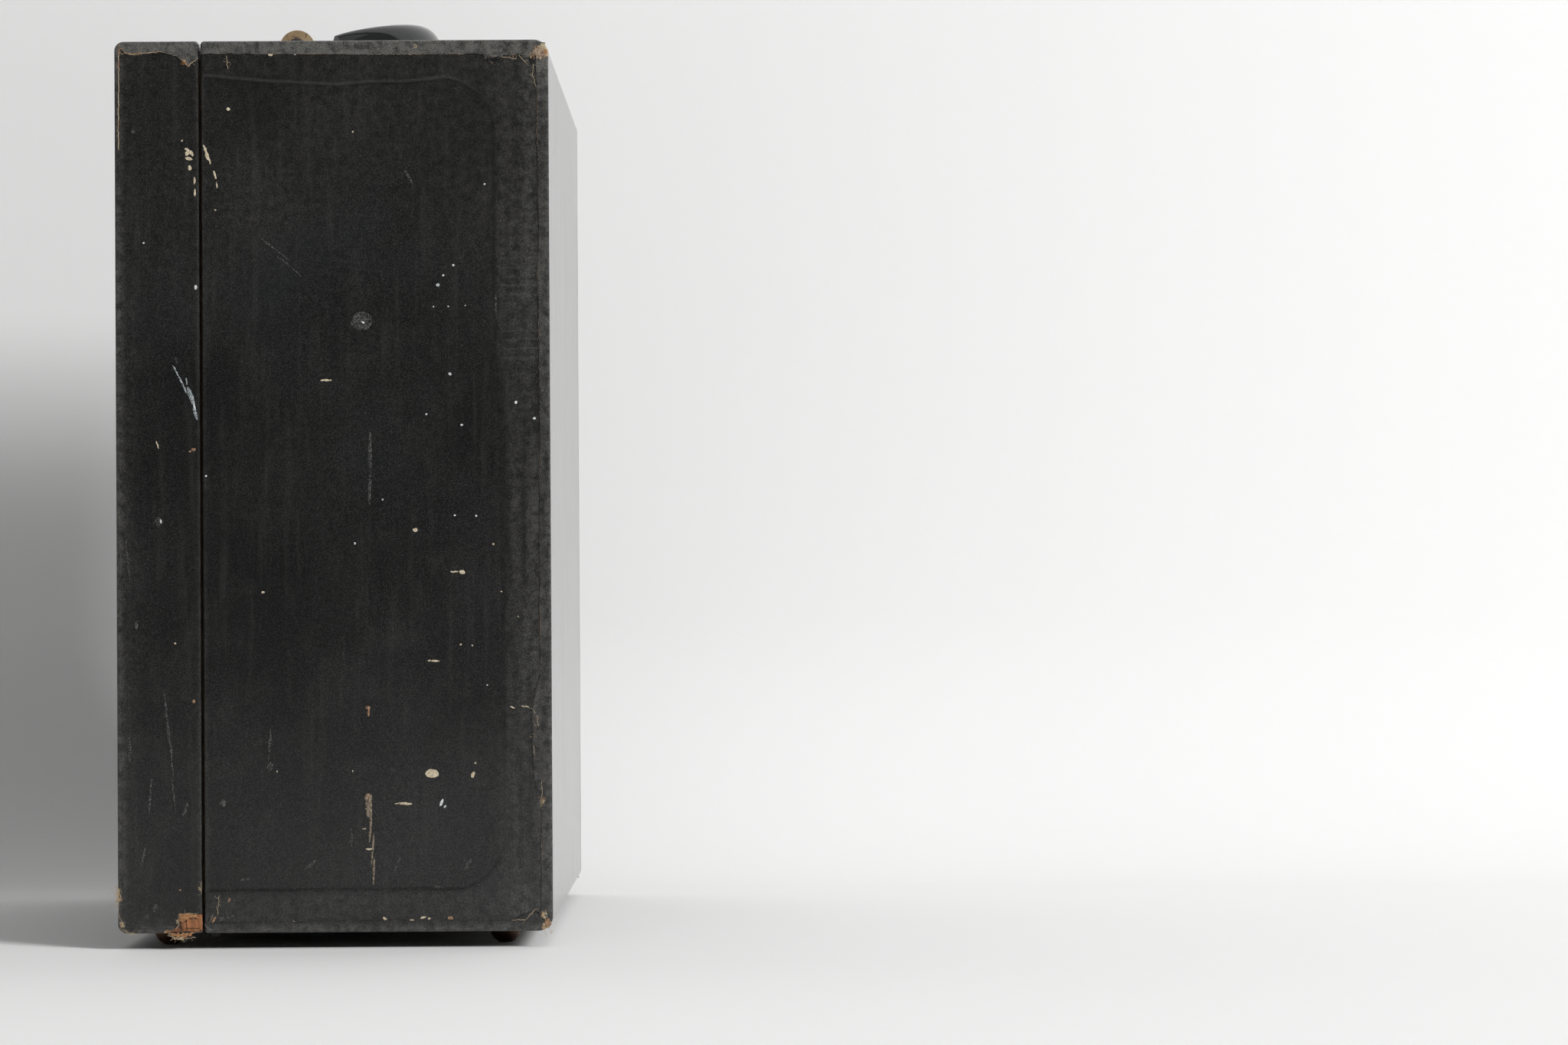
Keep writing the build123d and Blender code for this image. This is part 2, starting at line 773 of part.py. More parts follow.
def handle_core():
    rod = core_rod(0)
    for side in sides:
        elbow = (0, side * arch_foot, 0)
        outer = (0, side * peg_end, 0)
        head_end = (0, side * (peg_end + peg_head_height), 0)
        rod = rod + cylinder(peg_radius, elbow, outer) + Pos(*elbow) * Sphere(peg_radius)
        rod = rod + cylinder(peg_head_radius, outer, head_end)
    return laid_over(rod)


def handle_grip():
    # Oval sections along the bow, fullest at the middle.
    sections = []
    for index in range(grip_sections):
        share = 2 * index / (grip_sections - 1) - 1
        angle = share * grip_end_angle
        swell = max(cos(radians(90 * share)), 0) ** grip_fullness
        width = grip_end_width + (grip_width - grip_end_width) * swell
        thickness = grip_end_thickness + (grip_thickness - grip_end_thickness) * swell
        along = (0, cos(radians(angle)), -sin(radians(angle)))
        plane = Plane(origin=arch_point(angle), x_dir=(1, 0, 0), z_dir=along)
        sections.append(plane * Ellipse(width / 2, thickness / 2))
    grip = loft(sections)
    return laid_over(grip - core_rod(0))


# Hold-downs for the machine, on the base panel


def base_height_at(level):
    # The X of something a given height above the base's lining.
    return base_floor + level


def hook_screw_places():
    places = []
    for side in sides:
        for way in (-1, 1):
            y = side * hook_offset
            z = back_face + hook_from_back + hook_thickness + hook_foot / 2 + way * hook_screw_spacing / 2
            places.append(on_face((base_height_at(hook_thickness), y, z), (1, 0, 0)))
    return places


def rear_hook(side):
    # A bent strap: foot on the panel, upright at the back, lip over the machine's rear rail.
    z0 = back_face + hook_from_back
    at_corner = (Align.MIN, Align.MIN)
    foot_strip = Rectangle(hook_thickness, hook_foot, align=at_corner)
    upright = Rectangle(hook_height, hook_thickness, align=at_corner)
    lip = Pos(hook_height - hook_thickness, 0) * Rectangle(hook_thickness, hook_lip, align=at_corner)
    section = Pos(base_floor, z0) * (foot_strip + upright + lip)
    bends = section.vertices().group_by(Axis.Y)[0]
    section = fillet(bends, hook_bend_radius)
    strap = extrude(Plane.XZ * section, hook_width / 2, both=True)
    strap = Pos(0, side * hook_offset, 0) * strap
    return drilled(strap, [place * countersunk_screw(hole_clearance) for place in hook_screw_places()])


def post_places():
    return [on_face((base_floor, side * clip_offset, clip_z), (1, 0, 0)) for side in sides]


def clip_post():
    # A spool that the clip turns on, with the tack that holds it in the panel.
    shank_top = clip_level + clip_thickness + 2 * clip_play
    post = Pos(0, 0, clip_level / 2) * Cylinder(post_radius, clip_level)
    post = post + Pos(0, 0, shank_top / 2) * Cylinder(post_shank_radius, shank_top)
    head = Pos(0, 0, shank_top + post_head_height / 2) * Cylinder(post_head_radius, post_head_height)
    head = fillet(head.faces().sort_by(Axis.Z)[-1].edges(), post_head_height / 2)
    return post + head + rivet_shank(post_tack_radius, post_tack_depth, 0)


def hold_clip(side):
    # A turn button, drawn with its long end over the machine's front flange.
    plate = Pos(0, 0, clip_level + clip_play) * extrude(SlotOverall(clip_length, clip_width), clip_thickness)
    plate = Pos(clip_length / 2 - clip_width / 2, 0, 0) * plate
    plate = plate - cylinder(post_shank_radius + pin_clearance, (0, 0, 0), (0, 0, far))
    tip = plate.edges().group_by(Axis.Z)[0].sort_by(Axis.X)[-1]
    plate = chamfer(tip, clip_thickness / 3)
    turned = Plane(origin=(base_floor, side * clip_offset, clip_z), x_dir=(0, 0, -1), z_dir=(1, 0, 0))
    return turned.location * plate


def rest_pad(side, row):
    z = clip_z - pad_to_clip if row else back_face + pad_from_back
    start = (base_floor, side * pad_offset, z)
    return cylinder(pad_radius, start, (base_floor + pad_thickness, side * pad_offset, z))


# Holes that fasteners need in the boards, covering and lining

base_back_holes = [place * countersunk_screw(hole_clearance) for place in leaf_screw_places(-1)]
base_back_holes += [place * foot_tack(hole_clearance) for place in base_foot_places]
lid_back_holes = [place * countersunk_screw(hole_clearance) for place in leaf_screw_places(1)]
lid_back_holes += [place * foot_tack(hole_clearance) for place in lid_foot_places]
base_front_holes = []
lid_front_holes = [place * rivet_shank(lug_bolt_radius, lug_bolt_length(), hole_clearance)
                   for place in lug_bolt_places()]
for side in sides:
    base_front_holes += [place * rivet_shank(rivet_radius, rivet_depth, hole_clearance)
                         for place in lock_rivet_places(side)]
    lid_front_holes += [place * rivet_shank(rivet_radius, rivet_depth, hole_clearance)
                        for place in hasp_rivet_places(side)]
base_panel_holes = [place * countersunk_screw(hole_clearance) for place in hook_screw_places()]
base_panel_holes += [place * rivet_shank(post_tack_radius, post_tack_depth, hole_clearance)
                     for place in post_places()]

os.makedirs("parts", exist_ok=True)

# Base
base = (base_face, base_rim, base_corner_radius)
save("base_panel", drilled(panel(*base), base_panel_holes))
save("base_front_wall", drilled(wall(*base, front_inside, front_face), base_front_holes))
save("base_back_wall", drilled(wall(*base, back_face, back_inside), base_back_holes))
save("base_wrap_covering", drilled(wrap_covering(*base), base_front_holes + base_back_holes))
save("base_battens", *panel_battens(base_inside, 1, base_batten))
base_lining = lining_sheets(base_inside, 1, base_batten, 0, base_rim - covering)
save("base_lining", *[drilled(sheet, base_panel_holes) for sheet in base_lining])
save("base_tongue", *tongue_frame())
save("base_feet", *[place * foot() for place in base_foot_places])

# Lid
lid = (lid_face, lid_rim, lid_corner_radius)
save("lid_panel", panel(*lid))
save("lid_front_wall", drilled(wall(*lid, front_inside, front_face), lid_front_holes))
save("lid_back_wall", drilled(wall(*lid, back_face, back_inside), lid_back_holes))
save("lid_wrap_covering", drilled(wrap_covering(*lid), lid_front_holes + lid_back_holes))
save("lid_battens", *panel_battens(lid_inside, -1, lid_batten))
save("lid_corner_posts", *lid_posts())
lid_lining = lining_sheets(lid_inside, -1, lid_batten, lid_batten, lid_rim + tongue_rise + tongue_headroom)
save("lid_lining", *[drilled(sheet, lid_front_holes) for sheet in lid_lining])
save("lid_feet", *[place * foot() for place in lid_foot_places])

# Ends
for side in sides:
    name = side_names[side]
    save(f"base_{name}_end", end(base_face, base_rim, side))
    save(f"lid_{name}_end", end(lid_face, lid_rim, side))
    save(f"base_{name}_end_covering", end_sheet(base_face, base_rim, side))
    save(f"lid_{name}_end_covering", end_sheet(lid_face, lid_rim, side))

# Hinges
hinge_centres = [side * hinge_offset for side in sides]
save("hinge_base_leaves", *[hinge_leaf(centre, -1, 0) for centre in hinge_centres])
save("hinge_lid_leaves", *[hinge_leaf(centre, 1, 1) for centre in hinge_centres])
save("hinge_pins", *[hinge_pin(centre) for centre in hinge_centres])
save("hinge_base_screws", *[place * countersunk_screw(0) for place in leaf_screw_places(-1)])
save("hinge_lid_screws", *[place * countersunk_screw(0) for place in leaf_screw_places(1)])

# Latches
for side in sides:
    name = side_names[side]
    save(f"{name}_lock_case", lock_case(side))
    save(f"{name}_lock_slide", lock_slide(side))
    save(f"{name}_hasp", hasp(side))
save("hasp_plates", *[hasp_plate(side) for side in sides])
save("hasp_springs", *[hasp_spring(side) for side in sides])
save("hasp_pins", *[hasp_pin(side) for side in sides])
save("lock_rivets", *[place * rivet() for side in sides for place in lock_rivet_places(side)])
save("hasp_plate_rivets", *[place * rivet() for side in sides for place in hasp_rivet_places(side)])

# Handle
save("handle_lugs", *[handle_lug(side) for side in sides])
save("handle_lug_bolts", *[place * lug_bolt() for place in lug_bolt_places()])
save("handle_backing_plates", *[backing_plate(side) for side in sides])
save("handle_core", handle_core())
save("handle_grip", handle_grip())

# Hold-downs
save("rear_hooks", *[rear_hook(side) for side in sides])
save("hook_screws", *[place * countersunk_screw(0) for place in hook_screw_places()])
save("clip_posts", *[place * clip_post() for place in post_places()])
for side in sides:
    save(f"{side_names[side]}_hold_clip", hold_clip(side))
save("rest_pads", *[rest_pad(side, row) for side in sides for row in (0, 1)])
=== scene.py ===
import json
import math
import random

import bmesh
import bpy
import numpy as np
from mathutils import Matrix, Vector
from mathutils.geometry import delaunay_2d_cdt


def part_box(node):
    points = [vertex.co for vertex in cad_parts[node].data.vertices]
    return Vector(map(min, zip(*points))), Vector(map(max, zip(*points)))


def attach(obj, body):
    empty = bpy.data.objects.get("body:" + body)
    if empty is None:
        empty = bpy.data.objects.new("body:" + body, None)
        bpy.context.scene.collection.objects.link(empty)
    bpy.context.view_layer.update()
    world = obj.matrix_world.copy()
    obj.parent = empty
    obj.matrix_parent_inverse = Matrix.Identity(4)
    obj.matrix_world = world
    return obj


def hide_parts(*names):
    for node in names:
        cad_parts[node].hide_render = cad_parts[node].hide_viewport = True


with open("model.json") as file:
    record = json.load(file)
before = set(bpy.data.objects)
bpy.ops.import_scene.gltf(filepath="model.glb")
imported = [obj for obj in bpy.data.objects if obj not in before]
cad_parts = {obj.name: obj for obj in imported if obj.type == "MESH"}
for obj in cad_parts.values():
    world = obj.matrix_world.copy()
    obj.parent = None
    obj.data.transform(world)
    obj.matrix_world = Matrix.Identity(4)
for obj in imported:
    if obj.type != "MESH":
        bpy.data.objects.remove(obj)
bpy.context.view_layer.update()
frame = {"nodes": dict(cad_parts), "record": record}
print("Frame loaded with", len(frame["nodes"]), "nodes")

mm = 0.001
scene = bpy.context.scene


# Places that the rest of the script works from

cover = {half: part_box(half + "_wrap_covering") for half in ("base", "lid")}
rimX = {"base": cover["base"][1].x, "lid": cover["lid"][0].x}
faceX = {"base": cover["base"][0].x, "lid": cover["lid"][1].x}
toward = {"base": 1, "lid": -1}  # from a half's large face to its rim
cornerRadius = {"base": 4.0 * mm, "lid": 6.3 * mm}
backZ, frontZ = cover["lid"][0].z, cover["lid"][1].z
endY = cover["lid"][1].y
bodyOf = {"base": "root", "lid": "lid"}
sideName = {-1: "right", 1: "left"}
inView = -1  # the side whose end faces the camera


# Small tools

def softNoise(u, v, seed):
    # Smooth noise from -1 to 1 on a unit grid, for arrays or numbers.
    cellU, cellV = np.floor(u), np.floor(v)
    fadeU, fadeV = u - cellU, v - cellV
    fadeU = fadeU * fadeU * (3 - 2 * fadeU)
    fadeV = fadeV * fadeV * (3 - 2 * fadeV)

    def corner(a, b):
        mixed = np.sin(a * 127.1 + b * 311.7 + seed * 74.7) * 43758.5453
        return 2 * (mixed - np.floor(mixed)) - 1

    low = corner(cellU, cellV) * (1 - fadeU) + corner(cellU + 1, cellV) * fadeU
    high = corner(cellU, cellV + 1) * (1 - fadeU) + corner(cellU + 1, cellV + 1) * fadeU
    return low * (1 - fadeV) + high * fadeV


def smooth(low, high, value):
    share = np.clip((value - low) / (high - low), 0, 1)
    return share * share * (3 - 2 * share)


def fade(start, full, value):
    # From 0 to 1 between two distances in millimetres.
    return smooth(start * mm, full * mm, value)


def patchNoise(x, z, wide, high, seed):
    # Noise whose patches are so many millimetres wide and high.
    return softNoise(x / (wide * mm), z / (high * mm), seed)


def newObject(name, data):
    made = bpy.data.objects.new(name, data)
    scene.collection.objects.link(made)
    return made


def meshPiece(name, vertices, faces, material, masks=None):
    mesh = bpy.data.meshes.new(name)
    mesh.from_pydata([tuple(v) for v in vertices], [], faces)
    for maskName, values in (masks or {}).items():
        layer = mesh.attributes.new(maskName, "FLOAT", "POINT")
        layer.data.foreach_set("value", np.asarray(values, np.float32))
    mesh.materials.append(material)
    mesh.shade_smooth()
    return newObject(name, mesh)


def gridFaces(points, rows, columns, skip=None):
    # Squares between the rows of a grid of points, all facing away from the middle of its half.
    faces = []
    for row in range(rows - 1):
        for column in range(columns - 1):
            a = row * columns + column
            quad = (a, a + 1, a + columns + 1, a + columns)
            if skip is None or not all(skip[i] for i in quad):
                faces.append(quad)
    index = np.array(faces)
    middle = (points.min(axis=0) + points.max(axis=0)) / 2
    middle[1] = 0.0
    across = points[index[:, 2]] - points[index[:, 0]]
    normals = np.cross(across, points[index[:, 3]] - points[index[:, 1]])
    outward = points[index].mean(axis=1) - middle
    if (normals * outward).sum() < 0:
        faces = [face[::-1] for face in faces]
    return faces


def thicken(piece, thickness):
    wall = piece.modifiers.new("thickness", "SOLIDIFY")
    wall.thickness = thickness
    wall.offset = -1
    wall.use_even_offset = False


def settle(piece):
    # The result of a piece's modifiers becomes its plain mesh.
    evaluated = piece.evaluated_get(bpy.context.evaluated_depsgraph_get())
    settled = bpy.data.meshes.new_from_object(evaluated)
    settled.name = piece.name
    piece.modifiers.clear()
    piece.data = settled


def place(piece, body, slot, *nodes):
    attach(piece, body)
    if nodes:
        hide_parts(*nodes)


# Nodes, and the shader groups that several finishes share

def feed(node, values):
    # A value is a number, a vector, a socket, a node whose first output is meant, or a list of nodes.
    for key, value in values.items():
        for source in value if isinstance(value, list) else [value]:
            if isinstance(source, bpy.types.Node):
                source = source.outputs[0]
            if isinstance(source, bpy.types.NodeSocket):
                node.id_data.links.new(source, node.inputs[key])
            else:
                node.inputs[key].default_value = source


def addNode(tree, kind, values=None, **settings):
    node = tree.nodes.new(kind)
    for key, value in settings.items():
        setattr(node, key, value)
    feed(node, values or {})
    return node


def newTree(kind, name, inputs, outputs):
    # A socket is given by its kind, or by the number that it starts from.
    tree = bpy.data.node_groups.new(name, kind)
    for way, sockets in (("INPUT", inputs), ("OUTPUT", outputs)):
        for socketName, value in sockets.items():
            kindName = value if isinstance(value, str) else type(value).__name__.capitalize()
            socket = tree.interface.new_socket(
                name=socketName, in_out=way, socket_type="NodeSocket" + kindName)
            if kindName != value:
                socket.default_value = value
    return tree, tree.nodes.new("NodeGroupInput").outputs, tree.nodes.new("NodeGroupOutput")


def noise(vector, scale, detail=2.0, roughness=0.5):
    values = {"Vector": vector, "Scale": scale, "Detail": detail, "Roughness": roughness}
    return addNode(vector.id_data, "ShaderNodeTexNoise", values).outputs["Fac"]


def calc(operation, *values, clamp=False):
    tree = next(value.id_data for value in values if hasattr(value, "id_data"))
    return addNode(tree, "ShaderNodeMath", dict(enumerate(values)), operation=operation, use_clamp=clamp)


def times(first, second, clamp=False):
    return calc("MULTIPLY", first, second, clamp=clamp)


def ramp(value, low, high, newLow=0.0, newHigh=1.0):
    values = {"Value": value, "From Min": low, "From Max": high, "To Min": newLow, "To Max": newHigh}
    return addNode(value.id_data, "ShaderNodeMapRange", values, interpolation_type="SMOOTHSTEP")


def blend(share, first, second):
    values = {0: share}
    for key, colour in ((6, first), (7, second)):
        values[key] = (*colour, 1.0) if isinstance(colour, tuple) else colour
    return addNode(share.id_data, "ShaderNodeMix", values, data_type="RGBA").outputs[2]


def stretch(vector, scale):
    return addNode(vector.id_data, "ShaderNodeMapping", {"Vector": vector, "Scale": scale})


def sizedVector(start):
    values = {0: start["Vector"], "Scale": start["Size"]}
    return addNode(start["Vector"].id_data, "ShaderNodeVectorMath", values, operation="SCALE")


pebble = {"cells": 2050.0, "bends": 1300.0, "bendBy": 0.0005, "breaks": 1750.0}
grime = {"clouds": 14.0, "specks": 1100.0, "streaks": 220.0, "streakSqueeze": 0.08}


def buildPebbleGroup():
    # Embossed maze grain of leathercloth: a height and a tone that follows it; the tone paints highlight on
    # the crests and shade in the valleys.
    tree, start, end = newTree("ShaderNodeTree", "pebbleGrain", {"Vector": "Vector", "Size": 1.0},
                               {"Height": "Float", "Tone": "Float"})
    vector = sizedVector(start)
    bends = addNode(tree, "ShaderNodeTexNoise", {"Vector": vector, "Scale": pebble["bends"], "Detail": 0.0})
    bent = addNode(tree, "ShaderNodeVectorMath", operation="MULTIPLY_ADD")
    feed(bent, {0: bends.outputs["Color"], 1: (pebble["bendBy"],) * 3, 2: vector})
    cells = addNode(tree, "ShaderNodeTexVoronoi", {"Vector": bent, "Scale": pebble["cells"]},
                    feature="DISTANCE_TO_EDGE")
    height = ramp(cells.outputs["Distance"], 0.02, 0.15, 1.0, 0.0)
    broken = ramp(noise(vector, pebble["breaks"], 1.0), 0.37, 0.57, 0.10, 1.0)
    feed(end, {"Height": height, "Tone": times(height, broken)})
    return tree


def buildFrayGroup():
    # Where a painted mask wins over fine noise, so that a worn place ends in a ragged line.
    tree, start, end = newTree("ShaderNodeTree", "raggedMask",
                               {"Vector": "Vector", "Mask": 0.0, "Size": 900.0, "Softness": 0.08},
                               {"Mask": "Float", "Tint": "Float"})
    coarse = noise(start["Vector"], start["Size"], 4.0, 0.65)
    wins = calc("SUBTRACT", calc("ADD", start["Mask"], coarse), 1.0)
    feed(end, {"Mask": calc("DIVIDE", wins, start["Softness"], clamp=True),
               "Tint": noise(start["Vector"], 260.0, 3.0, 0.6)})
    return tree


def buildGrimeGroup():
    # Broad uneven tone, fine specks and faint streaks, for anything that has stood about for decades.
    tree, start, end = newTree("ShaderNodeTree", "agedTone", {"Vector": "Vector", "Size": 1.0},
                               {"Clouds": "Float", "Specks": "Float", "Streaks": "Float"})
    vector = sizedVector(start)
    drawn = stretch(vector, (1.0, 1.0, grime["streakSqueeze"]))
    feed(end, {"Clouds": noise(vector, grime["clouds"], 5.0, 0.6),
               "Specks": ramp(noise(vector, grime["specks"], 2.0, 0.7), 0.66, 0.74),
               "Streaks": ramp(noise(drawn, grime["streaks"], 4.0, 0.65), 0.5, 0.75)})
    return tree


pebbleGroup = buildPebbleGroup()
frayGroup = buildFrayGroup()
grimeGroup = buildGrimeGroup()


def newMaterial(name, roughness=0.5, metallic=0.0):
    material = bpy.data.materials.new(name)
    material.use_nodes = True
    tree = material.node_tree
    shader = tree.nodes["Principled BSDF"]
    feed(shader, {"Roughness": roughness, "Metallic": metallic})
    return material, shader, tree.nodes.new("ShaderNodeTexCoord").outputs["Object"]


def useGroup(group, vector, values=None):
    values = {"Vector": vector, **(values or {})}
    return addNode(vector.id_data, "ShaderNodeGroup", values, node_tree=group).outputs


def addBump(shader, height, strength, distance):
    values = {"Height": height, "Strength": strength, "Distance": distance}
    feed(shader, {"Normal": addNode(shader.id_data, "ShaderNodeBump", values)})


def readAttribute(shader, name):
    return addNode(shader.id_data, "ShaderNodeAttribute", attribute_name=name).outputs


# Finishes

leathercloth = {
    # Painted light: the valleys are coloured near black as painted shade and the crests lighter as painted
    # highlight; the cloth's own near-black lies between
    "valleyShade": (0.0009, 0.0009, 0.0010),
    "litCrest": (0.036, 0.0358, 0.034),
    "rubbed": (0.190, 0.187, 0.174),
    "cool": (0.010, 0.013, 0.016),
    "cream": (0.47, 0.40, 0.28),
    "rust": (0.33, 0.17, 0.08),
    "roughness": 0.50,
    "specular": 0.11,
    "coatRoughness": 0.14,
    "coatIndex": 1.38,
    "emboss": 0.22 * mm,
}


def buildLeathercloth():
    look = leathercloth
    material, shader, vector = newMaterial("blackLeathercloth")
    grain = useGroup(pebbleGroup, vector)
    aged = useGroup(grimeGroup, vector)
    # Painted highlight and shade: the grain's tone turns the colour from the shaded valleys to the lit crests
    tone = times(grain["Tone"], ramp(aged["Clouds"], 0.3, 0.7, 0.55, 1.2))
    colour = blend(tone, look["valleyShade"], look["litCrest"])
    colour = blend(ramp(aged["Clouds"], 0.5, 0.75, 0.0, 0.25), colour, look["cool"])
    colour = blend(times(aged["Streaks"], 0.06), colour, look["rubbed"])
    uneven = ramp(noise(vector, 260.0, 5.0, 0.65), 0.30, 0.70, 0.25, 1.35)
    rubbed = times(readAttribute(shader, "rubbed")["Fac"], uneven, clamp=True)
    colour = blend(times(rubbed, ramp(grain["Tone"], 0.0, 0.8, 0.45, 1.0)), colour, look["rubbed"])
    # Painted shade along the pressed lines darkens the colour towards the valley shade
    colour = blend(times(readAttribute(shader, "creaseShade")["Fac"], 0.85), colour, look["valleyShade"])
    bare = useGroup(frayGroup, vector,
                    {"Mask": readAttribute(shader, "bare")["Fac"], "Size": 1300.0, "Softness": 0.10})
    cloth = blend(ramp(bare["Tint"], 0.42, 0.6), look["cream"], look["rust"])
    clouded = ramp(aged["Clouds"], 0.3, 0.7, look["roughness"] - 0.06, look["roughness"] + 0.08)
    coated = calc("SUBTRACT", ramp(aged["Streaks"], 0.0, 1.0, 1.0, 0.80), bare["Mask"], clamp=True)
    feed(shader, {"Base Color": blend(bare["Mask"], colour, cloth),
                  "Roughness": calc("ADD", times(bare["Mask"], 0.35), clouded),
                  "Specular IOR Level": look["specular"], "Coat Weight": coated,
                  "Coat Roughness": look["coatRoughness"], "Coat IOR": look["coatIndex"]})
    addBump(shader, grain["Height"], 0.7, look["emboss"])
    return material


def buildCloth(name, light, dark, scale, faded=None):
    material, shader, vector = newMaterial(name, 0.9)
    aged = useGroup(grimeGroup, vector)
    fibres = noise(vector, scale, 3.0, 0.7)
    colour = blend(ramp(fibres, 0.3, 0.7), dark, light)
    colour = blend(times(aged["Clouds"], 0.5), colour, dark)
    if faded:
        patches = ramp(noise(vector, 22.0, 6.0, 0.68), 0.42, 0.72)
        stains = ramp(noise(vector, 31.0, 4.0, 0.75), 0.60, 0.68)
        colour = blend(times(patches, 0.36), colour, faded)
        colour = blend(times(stains, 0.45), colour, dark)
        colour = blend(times(aged["Specks"], 0.35), colour, faded)
    feed(shader, {"Base Color": colour})
    addBump(shader, fibres, 0.5, 0.2 * mm)
    return material


def buildWood(name, light, dark, grainScale=None):
    # With no scale given, the vector attribute "grain" holds the coordinates, squeezed along each strip.
    material, shader, vector = newMaterial(name, 0.72)
    aged = useGroup(grimeGroup, vector)
    along = stretch(vector, grainScale) if grainScale else readAttribute(shader, "grain")["Vector"]
    rings = noise(along, 240.0, 5.0, 0.6)
    pores = noise(along, 1500.0, 2.0, 0.6)
    colour = blend(ramp(rings, 0.35, 0.65), dark, light)
    colour = blend(ramp(pores, 0.55, 0.72, 0.0, 0.6), colour, dark)
    colour = blend(ramp(aged["Clouds"], 0.45, 0.7, 0.0, 0.55), colour, dark)
    colour = blend(times(aged["Specks"], 0.5), colour, tuple(c * 0.5 for c in dark))
    feed(shader, {"Base Color": colour})
    addBump(shader, pores, 0.35, 0.2 * mm)
    return material


def buildMetal(name, clean, dull, rust, roughness, rustShare, brushed=(1.0, 1.0, 1.0), shine=1.0):
    material, shader, vector = newMaterial(name, roughness, 1.0)
    aged = useGroup(grimeGroup, vector, {"Size": 3.0})
    lines = noise(stretch(vector, brushed), 1400.0, 3.0, 0.6)
    colour = blend(ramp(aged["Clouds"], 0.35, 0.65), clean, dull)
    rusted = ramp(noise(vector, 320.0, 5.0, 0.65), 0.72 - rustShare, 0.80 - rustShare)
    brushing = ramp(lines, 0.2, 0.8, roughness - 0.08, roughness + 0.12)
    feed(shader, {"Base Color": blend(rusted, colour, rust),
                  "Roughness": calc("ADD", brushing, times(rusted, 0.35), clamp=True),
                  "Metallic": calc("SUBTRACT", shine, times(rusted, 0.8 * shine))})
    addBump(shader, calc("ADD", lines, times(rusted, 0.8)), 0.12, 0.08 * mm)
    return material


def buildGrip():
    material, shader, vector = newMaterial("glossyBlackGrip")
    aged = useGroup(grimeGroup, vector, {"Size": 2.0})
    colour = blend(aged["Clouds"], (0.010, 0.011, 0.011), (0.022, 0.024, 0.023))
    colour = blend(times(aged["Specks"], 0.25), colour, (0.12, 0.11, 0.10))
    haze = ramp(noise(vector, 60.0, 4.0, 0.6), 0.35, 0.75, 0.06, 0.15)
    feed(shader, {"Base Color": colour, "Roughness": haze, "Specular IOR Level": 0.26})
    return material


def buildPaint(name, colour, shade, solid=0.36):
    material, shader, vector = newMaterial(name, 0.55)
    blotch = noise(vector, 900.0, 3.0, 0.6)
    gaps = ramp(noise(vector, 1700.0, 4.0, 0.7), solid - 0.06, solid + 0.04)
    feed(shader, {"Base Color": blend(ramp(blotch, 0.35, 0.7), colour, shade), "Alpha": gaps})
    addBump(shader, blotch, 0.3, 0.1 * mm)
    return material


# Cloth and felt: material, light and dark colour, scale of the fibres, and a faded colour
cloths = {
    "thread": ("cottonThread", (0.66, 0.56, 0.40), (0.34, 0.25, 0.15), 2600.0),
    "lining": ("flockLining", (0.150, 0.128, 0.108), (0.070, 0.057, 0.048), 3200.0, (0.235, 0.205, 0.165)),
    "felt": ("feltPad", (0.110, 0.150, 0.105), (0.045, 0.070, 0.045), 2400.0),
    "backing": ("rawClothBacking", (0.52, 0.42, 0.28), (0.26, 0.17, 0.10), 2200.0),
    "wornBacking": ("wornClothBacking", (0.50, 0.39, 0.28), (0.10, 0.055, 0.035), 1100.0),
    # Painted shade: a near-black sheet that stands in for the shade inside holes and cracks
    "darkGap": ("darkGap", (0.006, 0.005, 0.004), (0.002, 0.002, 0.002), 900.0),
    "tornPaper": ("tornPaper", (0.50, 0.27, 0.115), (0.20, 0.085, 0.035), 1500.0),
}

# Wood: material, light and dark colour, and how its grain is stretched
woods = {
    "board": ("caseBoard", (0.52, 0.30, 0.16), (0.25, 0.115, 0.05)),
    "batten_wood": ("gluedStrip", (0.50, 0.36, 0.21), (0.29, 0.18, 0.095)),
    "bareWood": ("bareOrangeWood", (0.36, 0.145, 0.055), (0.10, 0.038, 0.018), (1.0, 1.0, 0.06)),
}

# Metal: material, clean, dull and rusted colour, roughness, share of rust, brushing and shine
metals = {
    "brass": ("oldBrass", (0.80, 0.62, 0.37), (0.50, 0.33, 0.18), (0.16, 0.085, 0.05), 0.33, 0.17,
              (1.0, 1.0, 1.0), 0.62),
    "stud_metal": ("bronzedStud", (0.26, 0.155, 0.095), (0.085, 0.05, 0.035), (0.035, 0.022, 0.018),
                   0.36, 0.12),
    "hinge_steel": ("dullPlatedSteel", (0.30, 0.29, 0.275), (0.13, 0.125, 0.12), (0.11, 0.052, 0.026),
                    0.38, 0.16, (1.0, 0.05, 1.0)),
    "latch_metal": ("dullNickel", (0.66, 0.63, 0.57), (0.36, 0.335, 0.295), (0.17, 0.085, 0.045),
                    0.27, 0.07, (0.05, 1.0, 1.0)),
    "screw_steel": ("screwSteel", (0.50, 0.48, 0.45), (0.22, 0.205, 0.19), (0.14, 0.07, 0.035), 0.36, 0.12),
    "core_steel": ("plainSteel", (0.34, 0.34, 0.34), (0.15, 0.145, 0.14), (0.12, 0.055, 0.03), 0.40, 0.12),
}

# Paint and stains: material, colour and shade, and how much of it has gone
paints = {
    "cream": ("creamPaint", (0.64, 0.56, 0.42), (0.42, 0.33, 0.21), 0.39),
    "pale": ("palePaint", (0.72, 0.74, 0.74), (0.38, 0.41, 0.43)),
    "tan": ("tanPaint", (0.40, 0.24, 0.13), (0.17, 0.09, 0.05), 0.42),
    "scuff": ("scuffedCloth", (0.095, 0.095, 0.09), (0.02, 0.02, 0.02), 0.50),
    "smear": ("paleSmear", (0.42, 0.46, 0.48), (0.14, 0.16, 0.17), 0.46),
    "drip": ("driedDrip", (0.30, 0.25, 0.18), (0.14, 0.095, 0.065), 0.46),
}

